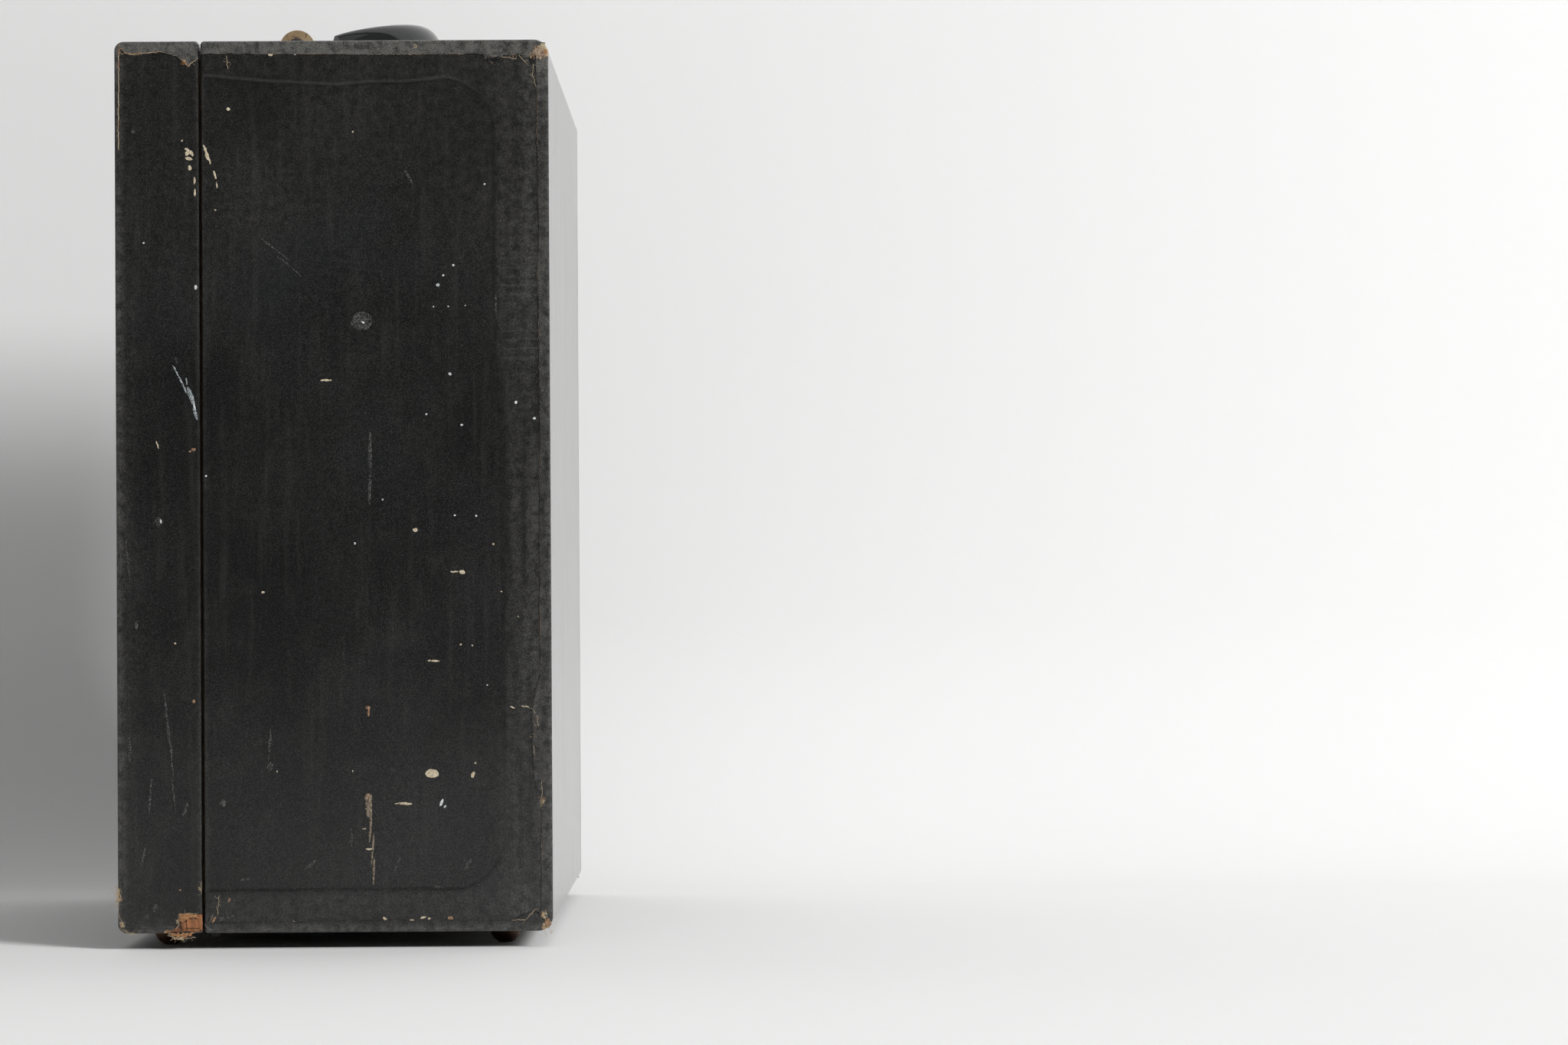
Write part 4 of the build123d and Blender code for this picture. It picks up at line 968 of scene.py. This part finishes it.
# Each mark: x, z, length and height in millimetres, then its turn in degrees where it has one
marks = {
    "lid_cream_spots": [
        (-44.2, 359.8, 1.5, 1.4), (9.1, 349.7, 0.7, 0.7), (-54.2, 342.6, 1, 4, -20),
        (-53.3, 339.6, 1.5, 4.2, -18), (-52.2, 337.4, 0.8, 2.4, -12), (-50.1, 331.6, 0.9, 3.6, -16),
        (-49.3, 327.2, 0.6, 3, -8), (-49.9, 316.6, 0.6, 0.6), (-2.8, 243.3, 4.4, 0.9, 2),
        (-4.3, 243.2, 2, 0.5), (34.9, 178.9, 1.9, 1.7, 10), (54.9, 160.7, 2.6, 1.7, 8),
        (51.4, 160.9, 3.6, 0.6, -2), (71.7, 152.3, 0.8, 0.8), (78.9, 141.5, 0.8, 0.8),
        (43.2, 122.8, 3.6, 0.9, 4), (40.6, 123, 1.4, 0.6), (41.5, 74.6, 5.7, 3.7, 4),
        (60.1, 78.9, 0.8, 0.8), (59.1, 73.9, 1.5, 2.6, 20), (29.9, 61.8, 6.2, 1.1, 3),
        (27, 61.9, 3, 0.6, -4), (14.8, 42.5, 3.6, 0.6), (12.4, 51.2, 1.6, 0.5), (68.3, 172.6, 0.7, 0.7),
        (54.1, 129.7, 0.8, 0.7), (59.1, 129.3, 0.7, 0.8), (7.7, 75.9, 0.7, 0.9), (-24.7, 75.9, 0.7, 0.7),
        (75.9, 102.8, 2.6, 0.5, 25), (81.6, 103.1, 3.4, 0.5, 8), (-30.3, 152.6, 1.2, 0.9),
        (33.6, 383, 1.2, 1), (-26, 383, 1.9, 1.3, 10), (21, 12.6, 2, 1, 40), (37.5, 13.1, 2.6, 0.9, -20),
        (32.6, 12, 2.2, 0.6, 10), (40, 12.6, 1, 0.9), (-18, 11.6, 1, 0.6)],
    "lid_pale_spots": [
        (51.8, 292.3, 1, 0.9), (47.5, 288, 0.9, 0.8), (45.2, 283.8, 1.5, 1.3), (65.4, 327, 0.8, 0.8),
        (43.2, 274.6, 0.6, 0.6), (49.5, 274.6, 0.6, 0.6), (56.8, 274.9, 0.6, 0.6),
        (50.1, 245.7, 1.3, 1.1, 20), (39.9, 228.4, 0.9, 0.8), (55.1, 223.8, 1.1, 0.9),
        (78.3, 233.3, 1.2, 1.4, 30), (51.8, 185.1, 1, 0.7), (61, 184.8, 0.9, 0.9), (9.1, 173.3, 0.8, 1),
        (45.6, 62.2, 1.1, 3.2, 20), (47, 60.4, 0.8, 1.4, 40), (21, 192, 0.7, 0.7),
        (65.4, 112.3, 0.7, 0.6), (86.2, 226.4, 1.3, 1.1), (-54.5, 202.5, 0.9, 0.8), (-15.6, 383.3, 1, 1),
        (88.3, 359.5, 0.8, 0.9), (13, 268, 1.6, 1, 20)],
    "lid_tan_spots": [
        (14.7, 101.1, 1.1, 4, 6), (14.3, 103, 2.2, 1.4), (14.2, 64.8, 2, 2.6),
        (49.1, 12.8, 2.4, 1.4, 20), (-45.3, 21, 0.8, 1.2), (-52, 12.6, 0.9, 2.6, 24),
        (21.6, 12, 1.8, 0.9, 30)],
    "lid_scuffs": [
        (-46.4, 13.6, 6.4, 2.3, -14), (15.7, 212, 1.6, 18), (15.5, 197, 1.3, 14, 2), (12.5, 268.5, 9, 8),
        (-28, 86, 0.9, 18, 4), (-27.4, 78, 2, 4), (-47.9, 62.5, 2.6, 3.2), (-10.8, 35.6, 1, 6.5, 48),
        (26.4, 36, 0.8, 7, 20), (57, 36, 1.4, 6, 30), (70, 275, 0.8, 10), (-25, 300, 0.7, 16, -52),
        (-18, 292, 0.5, 14, -50), (33, 330, 1, 8, -30), (7, 47, 1, 9), (44, 26, 6, 1, 10),
        (-38, 30, 5, 1.2, -8)],
    "base_cream_spots": [
        (-64.1, 346.4, 0.9, 0.9), (-61.9, 341, 1.5, 2.6, 30), (-60.2, 341, 1.3, 3, -30),
        (-61.2, 338.6, 3.2, 1.4, 10), (-62, 342.6, 2, 1, 20), (-60.8, 334.6, 1.5, 2.2),
        (-58.8, 329, 0.9, 3), (-58.7, 324, 0.8, 3.4), (-92, 142.8, 1, 2.2), (-75.2, 216, 0.5, 3.4, -16),
        (-68, 131, 0.8, 1)],
    "base_pale_spots": [
        (-58.5, 283.4, 1.2, 2), (-80.7, 302.5, 0.8, 0.8), (-74, 183.1, 1, 1.8),
        (-59.4, 232.6, 0.7, 4.4, -16)],
    "base_tan_spots": [
        (-92, 294.9, 1, 1.5), (-59.8, 213.9, 1.8, 1.5), (-60.3, 106.1, 1.5, 1.3),
        (-61.2, 212.9, 1.2, 0.8), (-66.5, 25.5, 1, 1)],
    "base_scuffs": [
        (-88.3, 168, 0.6, 21, -5), (-77, 18, 2.4, 3, 20), (-80.5, 14, 1.6, 2), (-71, 92, 1, 40, -6),
        (-69, 66, 0.8, 14, -6), (-87.6, 86, 1, 12), (-84.6, 138.9, 1.6, 4), (-75, 183, 3, 4),
        (-79, 66, 0.8, 16, 4), (-64, 60, 1.4, 6, 20), (-82, 40, 0.8, 9, 12), (-66.8, 252, 1.6, 3, -10),
        (-85, 350, 2, 2)],
    "base_pale_smear": [
        (-66.9, 247, 0.6, 7, -26), (-64.2, 241.5, 0.9, 8, -24), (-60.8, 236.8, 2, 8.5, -20),
        (-59, 229.6, 1.3, 6, -14), (-62.6, 243, 0.7, 3, -10)],
    "lid_dried_drip": [
        (14.2, 64.4, 3.2, 3.6), (14.5, 60, 2.6, 8, 4), (15.1, 52, 0.9, 14, 4), (15.9, 42, 0.7, 15, 4),
        (16.4, 33, 0.8, 12, 2), (13.4, 61, 0.8, 6)],
}


def surfaceLevel(half, side, x, z):
    # How far out the end sheet lies at a place.
    relief = float(endRelief(half, side, np.array([x * mm]), np.array([z * mm]))[0])
    return endY - covering["endLevel"] + relief


def markPiece(name, rows):
    half, kind = name.split("_", 1)
    paint, thick, ragged, grain, seed = markLook[kind]
    spots = [(*row, 0)[:5] for row in rows]
    places = [(x * mm, inView * surfaceLevel(half, inView, x, z), z * mm) for x, z, *rest in spots]
    source = bpy.data.meshes.new(name + "_points")
    source.from_pydata(places, [], [])
    columns = {
        "long": [spot[2] * mm / 2 for spot in spots], "wide": [spot[3] * mm / 2 for spot in spots],
        "thick": [thick * mm] * len(spots), "turn": [math.radians(spot[4]) for spot in spots]}
    for key, column in columns.items():
        source.attributes.new(key, "FLOAT", "POINT").data.foreach_set("value", column)
    grow(name, source, spotGrowth, half, {
        "Material": finish[paint], "Raggedness": ragged * mm, "Grain": grain, "Seed": float(seed)})


for name, rows in marks.items():
    markPiece(name, rows)


# Threads that have come out of torn edges: side and seed, then runs of x, z in millimetres

threadLook = {"radius": 0.085, "spacing": 0.9, "length": 1.8, "wobble": 1.3, "out": 0.15}
threads = {
    "lid_threads": (-1, 11, [
        [(-44.9, 382.6), (-44.6, 379.5), (-44.2, 376.9)], [(80.6, 381.8), (82, 380.6), (84.2, 378.2)],
        [(86.6, 378.5), (86.2, 374), (87.5, 368.7)], [(88.9, 9.3), (89.3, 7.2), (90, 5.4)],
        [(90.6, 9), (91.9, 7.4), (92.4, 5.8)], [(-49.7, 23.1), (-50, 19), (-50.5, 14.9)],
        [(-52.5, 14.6), (-53.5, 12.3)], [(75.6, 11.6), (81.3, 11.8), (84.9, 15.6), (85.9, 16.6)],
        [(66.7, 381.2), (69, 379), (72.6, 380.2)], [(72.6, 381.8), (79.3, 380.5)],
        [(84.2, 102.5), (86.2, 99.5), (87.3, 94.6)], [(84.6, 382), (87, 385), (90, 386.4)],
        [(85.4, 91.3), (85, 87), (85.4, 82.8)], [(88, 60), (88.6, 66), (88.2, 71)]]),
    "base_threads": (-1, 11, [
        [(-93.4, 28), (-92.6, 25), (-93.2, 22), (-92.4, 19), (-92.8, 16.5)],
        [(-93, 26), (-91.6, 23.6), (-92.6, 20.4)],
        [(-92.4, 14.9), (-91.2, 11), (-88.6, 7.4), (-86, 7.2)], [(-91, 9), (-88, 6.6), (-84, 6.8)],
        [(-66, 14.2), (-63.4, 14.8), (-60.5, 13.2)], [(-71.8, 6.2), (-66, 4.6), (-60, 5.4)],
        [(-57.4, 29), (-57.3, 23.8)], [(-86.5, 383.6), (-83, 383.2), (-79.5, 384)],
        [(-63, 379.4), (-61, 378), (-60, 379.6)], [(-91, 384.6), (-89, 383.4)],
        [(-93.2, 27), (-94.4, 25.6), (-94, 23.5)], [(-93, 24.5), (-94.6, 23), (-94.2, 21)],
        [(-93, 22), (-94.3, 20.2), (-93.6, 18.8)], [(-71, 6.8), (-69.6, 4.9), (-66.8, 4.4)],
        [(-70.4, 7), (-67.6, 5.4), (-63, 5.2)], [(-67, 15.2), (-63, 15.6), (-59.4, 15.4)],
        [(-67.2, 14), (-66.6, 11), (-68.6, 8.6)]]),
    "lid_far_threads": (1, 19, [
        [(90, 386.2), (87, 384), (84.6, 384.8)], [(91.5, 12), (89, 8.4), (85, 7.6)],
        [(88.4, 205), (88, 211), (88.6, 216)]]),
    "base_far_threads": (1, 19, [
        [(-92, 12), (-90, 8.8), (-86, 7.4)], [(-91.6, 385), (-88.6, 386.6)],
        [(-60.6, 384.2), (-58.2, 381.4)]]),
}


def threadPiece(name, side, seed, runs):
    points, edges = [], []
    for run in runs:
        for index, (x, z) in enumerate(run):
            points.append((x * mm, side * (endY + threadLook["out"] * mm), z * mm))
            if index:
                edges.append((len(points) - 2, len(points) - 1))
    source = bpy.data.meshes.new(name + "_paths")
    source.from_pydata(points, edges, [])
    sizes = {key.capitalize(): threadLook[key] * mm for key in ("radius", "spacing", "length", "wobble")}
    grow(name, source, threadGrowth, name.split("_")[0],
         {"Material": finish["thread"], "Seed": seed, **sizes})


for name, (side, seed, runs) in threads.items():
    threadPiece(name, side, seed, runs)
print("Grew spots and threads")


# Torn scraps and bared places on the end in view, in millimetres

scrapLook = {"step": 0.35, "jag": 0.35, "bulge": 0.25, "rough": 0.22, "out": 0.12, "thickness": 0.22,
             "seed": 3}
chipLook = {"jag": 0.25, "rough": 0.15, "out": -0.45, "slot": "board"}
# Cracks are near-black sheets of painted shade, sunk a little below the surface
crackShadeLook = {"step": 0.5, "jag": 0.12, "bulge": 0.0, "rough": 0.03, "out": -0.38, "thickness": 0.05,
             "slot": "board"}

# Each scrap: its finish, what differs from scrapLook, and its outline as x, z
scraps = {
    "lid_corner_scrap": ("wornBacking", {"bulge": 0.45, "jag": 0.7, "rough": 0.35}, [
        (85.2, 381.9), (86.4, 384.4), (88.6, 386.2), (90.6, 385), (91.6, 382.2), (90.6, 380.4),
        (88.4, 380.8), (87.2, 382)]),
    # painted shade: a near-black sheet where the corner is holed
    "lid_corner_hole": ("darkGap", {"seed": 8, "out": 0.14, "bulge": 0.0, "rough": 0.05, "thickness": 0.05}, [
        (84.9, 381.4), (86.8, 381.6), (87.3, 379.6), (86.6, 378), (85.6, 378.6), (85, 380)]),
    "lid_edge_fray": ("leathercloth", {"seed": 12, "out": 0.25}, [
        (66.6, 381.6), (69.4, 381.2), (72.4, 381.8), (72.8, 379.6), (70.6, 378.6), (68.4, 379.8),
        (67, 379)]),
    "lid_brown_scrap": ("tan", {"seed": 17, "bulge": 0.15}, [
        (89.4, 11.8), (91.4, 12.2), (92.4, 9.6), (90.4, 9), (89.2, 10.2)]),
    "base_torn_backing": ("tornPaper", {"seed": 21, "bulge": 0.3}, [
        (-66.6, 15.4), (-63.6, 15.6), (-59.6, 15.2), (-58.4, 13.6), (-61.2, 13.9), (-63.4, 12.9),
        (-65.2, 11.8), (-66.8, 12)]),
    "base_hanging_flap": ("tornPaper", {"seed": 24, "bulge": 0.35, "jag": 0.7}, [
        (-71, 7.4), (-66, 7.2), (-60.6, 7.2), (-61.6, 6.2), (-64.6, 5.4), (-68, 5.6), (-70.6, 6.4)]),
    "base_flap_backing": ("backing", {"seed": 27, "bulge": 0.3, "out": 0.2, "jag": 0.8}, [
        (-69.6, 6), (-66.8, 5.2), (-64, 5.6), (-65, 4.4), (-67.2, 4), (-69, 4.8)]),
    "base_bared_board": ("bareWood", {"seed": 30, "jag": 0.2, "bulge": 0.05, "rough": 0.12, "out": -0.62,
                                       "thickness": 0.1, "slot": "board"}, [
        (-67.4, 15.4), (-61.5, 15.9), (-57, 15), (-57, 7.5), (-62, 7.4), (-67.4, 7.6)]),
    "base_board_chip": ("bareWood", {**chipLook, "seed": 33}, [
        (-66.4, 12), (-64.6, 12.2), (-63.9, 9), (-65.8, 8.4)]),
    "base_board_wedge": ("bareWood", {**chipLook, "seed": 39, "out": 0.2, "bulge": 0.1, "thickness": 0.1}, [
        (-71.6, 7.7), (-68.6, 9), (-66.6, 11.2), (-66.4, 7.5)]),
    # painted shade: near-black sheets along the cracks in the board
    "base_board_crack": ("darkGap", {**crackShadeLook, "seed": 41}, [
        (-63.9, 13), (-63.7, 13), (-63.5, 7.6), (-63.68, 7.6)]),
    "base_board_split": ("darkGap", {**crackShadeLook, "seed": 43}, [
        (-66, 9.4), (-58.2, 9.1), (-58.2, 8.95), (-66, 9.2)]),
    "base_edge_tuft": ("backing", {"seed": 36, "bulge": 0.2, "jag": 0.6}, [
        (-93.4, 21.6), (-93.1, 26.8), (-92.4, 25.8), (-92.2, 23.4), (-92.6, 20)]),
}


def scrapPiece(name, material, look, outline):
    # A ragged sheet with a soft bulge, its edge broken up finely.
    look = {**scrapLook, **look}
    seed, step = look["seed"], look["step"]
    ring = []
    for index, (x0, z0) in enumerate(outline):
        x1, z1 = outline[(index + 1) % len(outline)]
        count = max(2, round(math.hypot(x1 - x0, z1 - z0) / step))
        for part in range(count):
            x, z = x0 + (x1 - x0) * part / count, z0 + (z1 - z0) * part / count
            x += look["jag"] * float(softNoise(x / 0.7, z / 0.7, seed))
            z += look["jag"] * float(softNoise(x / 0.7, z / 0.7, seed + 5))
            ring.append((x, z))
    xs, zs = [p[0] for p in ring], [p[1] for p in ring]
    inner = []
    generator = random.Random(seed)
    for x in np.arange(min(xs), max(xs), step * 1.3):
        for z in np.arange(min(zs), max(zs), step * 1.3):
            inner.append((x + generator.uniform(-0.1, 0.1), z + generator.uniform(-0.1, 0.1)))
    loop = [(i, (i + 1) % len(ring)) for i in range(len(ring))]
    made, _, faces, *_ = delaunay_2d_cdt([Vector(p) for p in ring + inner], loop, [], 1, 0.0001)
    reach = max(max(xs) - min(xs), max(zs) - min(zs)) / 2
    middle = (sum(xs) / len(xs), sum(zs) / len(zs))
    points = []
    for x, z in made:
        away = min(1.0, math.hypot(x - middle[0], z - middle[1]) / reach)
        relief = look["bulge"] * (1 - away * away)
        relief += look["rough"] * float(softNoise(x / 0.8, z / 0.8, seed + 9))
        relief += 0.4 * look["rough"] * float(softNoise(x / 0.3, z / 0.3, seed + 2))
        points.append((x * mm, inView * (endY + (look["out"] + relief) * mm), z * mm))
    grid, tri = np.array(points), np.array(faces)
    normals = np.cross(grid[tri[:, 1]] - grid[tri[:, 0]], grid[tri[:, 2]] - grid[tri[:, 0]])
    if normals[:, 1].sum() * inView < 0:
        faces = [face[::-1] for face in faces]
    piece = meshPiece(name, points, faces, finish[material])
    thicken(piece, look["thickness"] * mm)
    place(piece, bodyOf[name.split("_")[0]], look.get("slot", "leathercloth"))


for name, values in scraps.items():
    scrapPiece(name, *values)
print("Laid torn scraps")


# Hard parts: copies of the frame's nodes with softened edges

def islandsOf(work):
    # The vertices of each connected piece of a bmesh.
    seen, islands = set(), []
    for vertex in work.verts:
        if vertex in seen:
            continue
        stack, island = [vertex], []
        while stack:
            current = stack.pop()
            if current in seen:
                continue
            seen.add(current)
            island.append(current)
            stack += [edge.other_vert(current) for edge in current.link_edges]
        islands.append(island)
    return islands


def layGrain(work, squeeze=0.06):
    # Wood grain runs along each face's longest side, so its coordinates are squeezed that way.
    layer = work.loops.layers.float_vector.new("grain")
    for face in work.faces:
        corners = np.array([vertex.co for vertex in face.verts])
        longest = int(np.argmax(corners.max(axis=0) - corners.min(axis=0)))
        for loop in face.loops:
            along = loop.vert.co.copy()
            along[longest] *= squeeze
            loop[layer] = along


softened = {"merge": 0.01 * mm, "flatAngle": 0.5, "sharpAngle": 38, "bevelAngle": 42, "segments": 2}


def softenedCopy(nodeName, width, slotName):
    mesh = frame["nodes"][nodeName].data.copy()
    mesh.name = nodeName + "_finished"
    work = bmesh.new()
    work.from_mesh(mesh)
    bmesh.ops.remove_doubles(work, verts=work.verts, dist=softened["merge"])
    flat = math.radians(softened["flatAngle"])
    bmesh.ops.dissolve_limit(work, angle_limit=flat, verts=work.verts, edges=work.edges)
    if slotName in ("board", "batten_wood"):
        layGrain(work)
    work.to_mesh(mesh)
    work.free()
    mesh.materials.clear()
    mesh.materials.append(finish[slotName])
    mesh.shade_smooth()
    mesh.set_sharp_from_angle(angle=math.radians(softened["sharpAngle"]))
    piece = newObject(nodeName + "_finished", mesh)
    if width:
        bevel = piece.modifiers.new("soft_edges", "BEVEL")
        bevel.width = width
        bevel.segments = softened["segments"]
        bevel.limit_method = "ANGLE"
        bevel.angle_limit = math.radians(softened["bevelAngle"])
        bevel.use_clamp_overlap = True
        bevel.harden_normals = True
    return piece


nodeBody = {name: body for body, names in frame["record"]["behaviour"]["bodies"].items() for name in names}

# Each slot: how far its edges are softened, in millimetres, and its nodes
hardParts = {
    "brass": (0.22, ("handle_lugs", "handle_lug_bolts")),
    "stud_metal": (0.0, ("base_feet", "lid_feet")),
    "hinge_steel": (0.12, ("hinge_base_leaves", "hinge_lid_leaves", "hinge_pins")),
    "latch_metal": (0.14, ("right_lock_case", "left_lock_case", "lock_rivets", "right_lock_slide",
                           "left_lock_slide", "hasp_plates", "hasp_pins", "hasp_springs",
                           "hasp_plate_rivets", "right_hasp", "left_hasp")),
    "core_steel": (0.14, ("handle_backing_plates", "handle_core", "rear_hooks")),
    "grip": (0.0, ("handle_grip",)),
    "clip_steel": (0.2, ("clip_posts", "right_hold_clip", "left_hold_clip")),
    "felt": (0.5, ("rest_pads",)),
    "board": (0.25, ("base_panel", "base_front_wall", "base_back_wall", "base_left_end", "base_right_end",
                     "lid_panel", "lid_front_wall", "lid_back_wall", "lid_left_end", "lid_right_end")),
    "batten_wood": (0.35, ("base_battens", "base_tongue", "lid_battens", "lid_corner_posts")),
}
for slotName, (width, names) in hardParts.items():
    for name in names:
        place(softenedCopy(name, width * mm, slotName), nodeBody[name], slotName, name)


# Screws with a cut slot, each turned its own way

screwSlot = {"length": 7.2 * mm, "width": 0.95 * mm, "depth": 1.2 * mm, "sharpAngle": 30, "seed": 5}


def slottedScrews(nodeName, headAxis, headSide):
    piece = softenedCopy(nodeName, 0.0, "screw_steel")
    work = bmesh.new()
    work.from_mesh(piece.data)
    islands = [np.array([vertex.co for vertex in island]) for island in islandsOf(work)]
    work.free()
    cutters = bmesh.new()
    generator = random.Random(screwSlot["seed"])
    shape = Matrix.Diagonal((screwSlot["length"], screwSlot["width"], screwSlot["depth"], 1))
    for island in islands:
        low, high = island.min(axis=0), island.max(axis=0)
        centre = (low + high) / 2
        centre[headAxis] = high[headAxis] if headSide > 0 else low[headAxis]
        turned = Matrix.Rotation(generator.uniform(0, math.pi), 4, "Z")
        if headAxis == 0:
            turned = Matrix.Rotation(math.pi / 2, 4, "Y") @ turned
        bmesh.ops.create_cube(cutters, size=1.0, matrix=Matrix.Translation(centre) @ turned @ shape)
    cutMesh = bpy.data.meshes.new("slot_cutters")
    cutters.to_mesh(cutMesh)
    cutters.free()
    cutter = newObject("slot_cutters", cutMesh)
    cut = piece.modifiers.new("slots", "BOOLEAN")
    cut.operation = "DIFFERENCE"
    cut.solver = "EXACT"
    cut.object = cutter
    settle(piece)
    bpy.data.objects.remove(cutter)
    piece.data.shade_smooth()
    piece.data.set_sharp_from_angle(angle=math.radians(screwSlot["sharpAngle"]))
    place(piece, nodeBody[nodeName], "screw_steel", nodeName)


slottedScrews("hinge_base_screws", 2, -1)
slottedScrews("hinge_lid_screws", 2, -1)
slottedScrews("hook_screws", 0, 1)
for half in ("base", "lid"):
    lining = frame["nodes"][half + "_lining"].data
    lining.materials.clear()
    lining.materials.append(finish["lining"])
print("Finished the hard parts")


# Floor, light and camera

studio = {
    "halfWidth": 3.0,
    "frontEdge": -3.2,
    "backStart": 0.24,
    "curve": 0.14,
    "curveSteps": 24,
    "height": 2.6,
    "colour": (0.90, 0.90, 0.897),
    "shown": (0.93, 0.93, 0.93, 1),
    "surround": 0.075,
}


def buildBackdrop():
    # One pale sheet: floor, a wide curve, and the wall behind.
    material, shader, vector = newMaterial("paleBackdrop", 0.8)
    tree = shader.id_data
    pale = studio["colour"]
    feed(shader, {"Base Color": blend(noise(vector, 1.5), pale, tuple(c * 0.985 for c in pale)),
                  "Specular IOR Level": 0.1})
    # Seen from behind, the sheet lets the camera look through.
    away = times(tree.nodes.new("ShaderNodeNewGeometry").outputs["Backfacing"],
                 tree.nodes.new("ShaderNodeLightPath").outputs["Is Camera Ray"])
    clear = tree.nodes.new("ShaderNodeBsdfTransparent")
    output = next(node for node in tree.nodes if node.type == "OUTPUT_MATERIAL")
    feed(output, {"Surface": addNode(tree, "ShaderNodeMixShader", {0: away, 1: shader, 2: clear})})
    back, curve = studio["backStart"], studio["curve"]
    profile = [(studio["frontEdge"], 0.0), (back, 0.0)]
    for step in range(1, studio["curveSteps"] + 1):
        angle = step / studio["curveSteps"] * math.pi / 2
        profile.append((back + curve * math.sin(angle), curve * (1 - math.cos(angle))))
    profile.append((back + curve, studio["height"]))
    points = [(side * studio["halfWidth"], y, z) for y, z in profile for side in (-1, 1)]
    faces = [(2 * i, 2 * i + 1, 2 * i + 3, 2 * i + 2) for i in range(len(profile) - 1)]
    meshPiece("studio_backdrop", points, faces, material)


def buildWorld():
    world = bpy.data.worlds.new("studio")
    scene.world = world
    world.use_nodes = True
    tree = world.node_tree
    tree.nodes.clear()
    rays = tree.nodes.new("ShaderNodeLightPath").outputs["Is Camera Ray"]
    plain = addNode(tree, "ShaderNodeBackground", {"Color": (1, 1, 1, 1), "Strength": studio["surround"]})
    shown = addNode(tree, "ShaderNodeBackground", {"Color": studio["shown"], "Strength": 1.0})
    either = addNode(tree, "ShaderNodeMixShader", {0: rays, 1: plain, 2: shown})
    addNode(tree, "ShaderNodeOutputWorld", {"Surface": either})


# Each lamp: where it is, what it looks at, its width and height in metres, and its power in watts
lamps = {
    "key": {"at": (3.69, -3.33, 2.79), "aim": (0.1, 0, 0.15), "size": (1.6, 1.6), "power": 262},
    "top": {"at": (0.3, -0.9, 2.3), "aim": (0.3, 0.1, 0.2), "size": (1.8, 1.8), "power": 9},
}


def buildLamps():
    for name, values in lamps.items():
        light = bpy.data.lights.new(name, "AREA")
        light.shape = "RECTANGLE"
        light.size, light.size_y = values["size"]
        light.energy = values["power"]
        lamp = newObject(name, light)
        lamp.location = values["at"]
        ahead = Vector(values["aim"]) - Vector(values["at"])
        lamp.rotation_euler = ahead.to_track_quat("-Z", "Y").to_euler()


# The lens follows from its focal length in pixels of a picture 2048 wide
cameraValues = {
    "imageWidth": 2048,
    "focalPixels": 6387.0,
    "sensor": 36.0,
    "farEnd": 50,
    "at": (0.1753, -2.2758, 0.1538),
    "pitch": 0.747,
    "yaw": -0.480,
    "roll": -0.36,
}


def buildCamera():
    data = bpy.data.cameras.new("camera")
    data.sensor_width = cameraValues["sensor"]
    data.lens = cameraValues["focalPixels"] / cameraValues["imageWidth"] * cameraValues["sensor"]
    data.clip_end = cameraValues["farEnd"]
    camera = newObject("camera", data)
    yaw, pitch, roll = (math.radians(cameraValues[key]) for key in ("yaw", "pitch", "roll"))
    ahead = Vector((-math.sin(yaw), math.cos(yaw), 0))
    across = Vector((math.cos(yaw), math.sin(yaw), 0))
    forward = ahead * math.cos(pitch) + Vector((0, 0, 1)) * math.sin(pitch)
    above = Vector((0, 0, 1)) * math.cos(pitch) - ahead * math.sin(pitch)
    right = across * math.cos(roll) + above * math.sin(roll)
    up = above * math.cos(roll) - across * math.sin(roll)
    turned = Matrix((right, up, -forward)).transposed()
    camera.matrix_world = Matrix.Translation(cameraValues["at"]) @ turned.to_4x4()
    scene.camera = camera


buildBackdrop()
buildWorld()
buildLamps()
buildCamera()
scene.view_settings.view_transform = "Standard"
print("Studio ready")
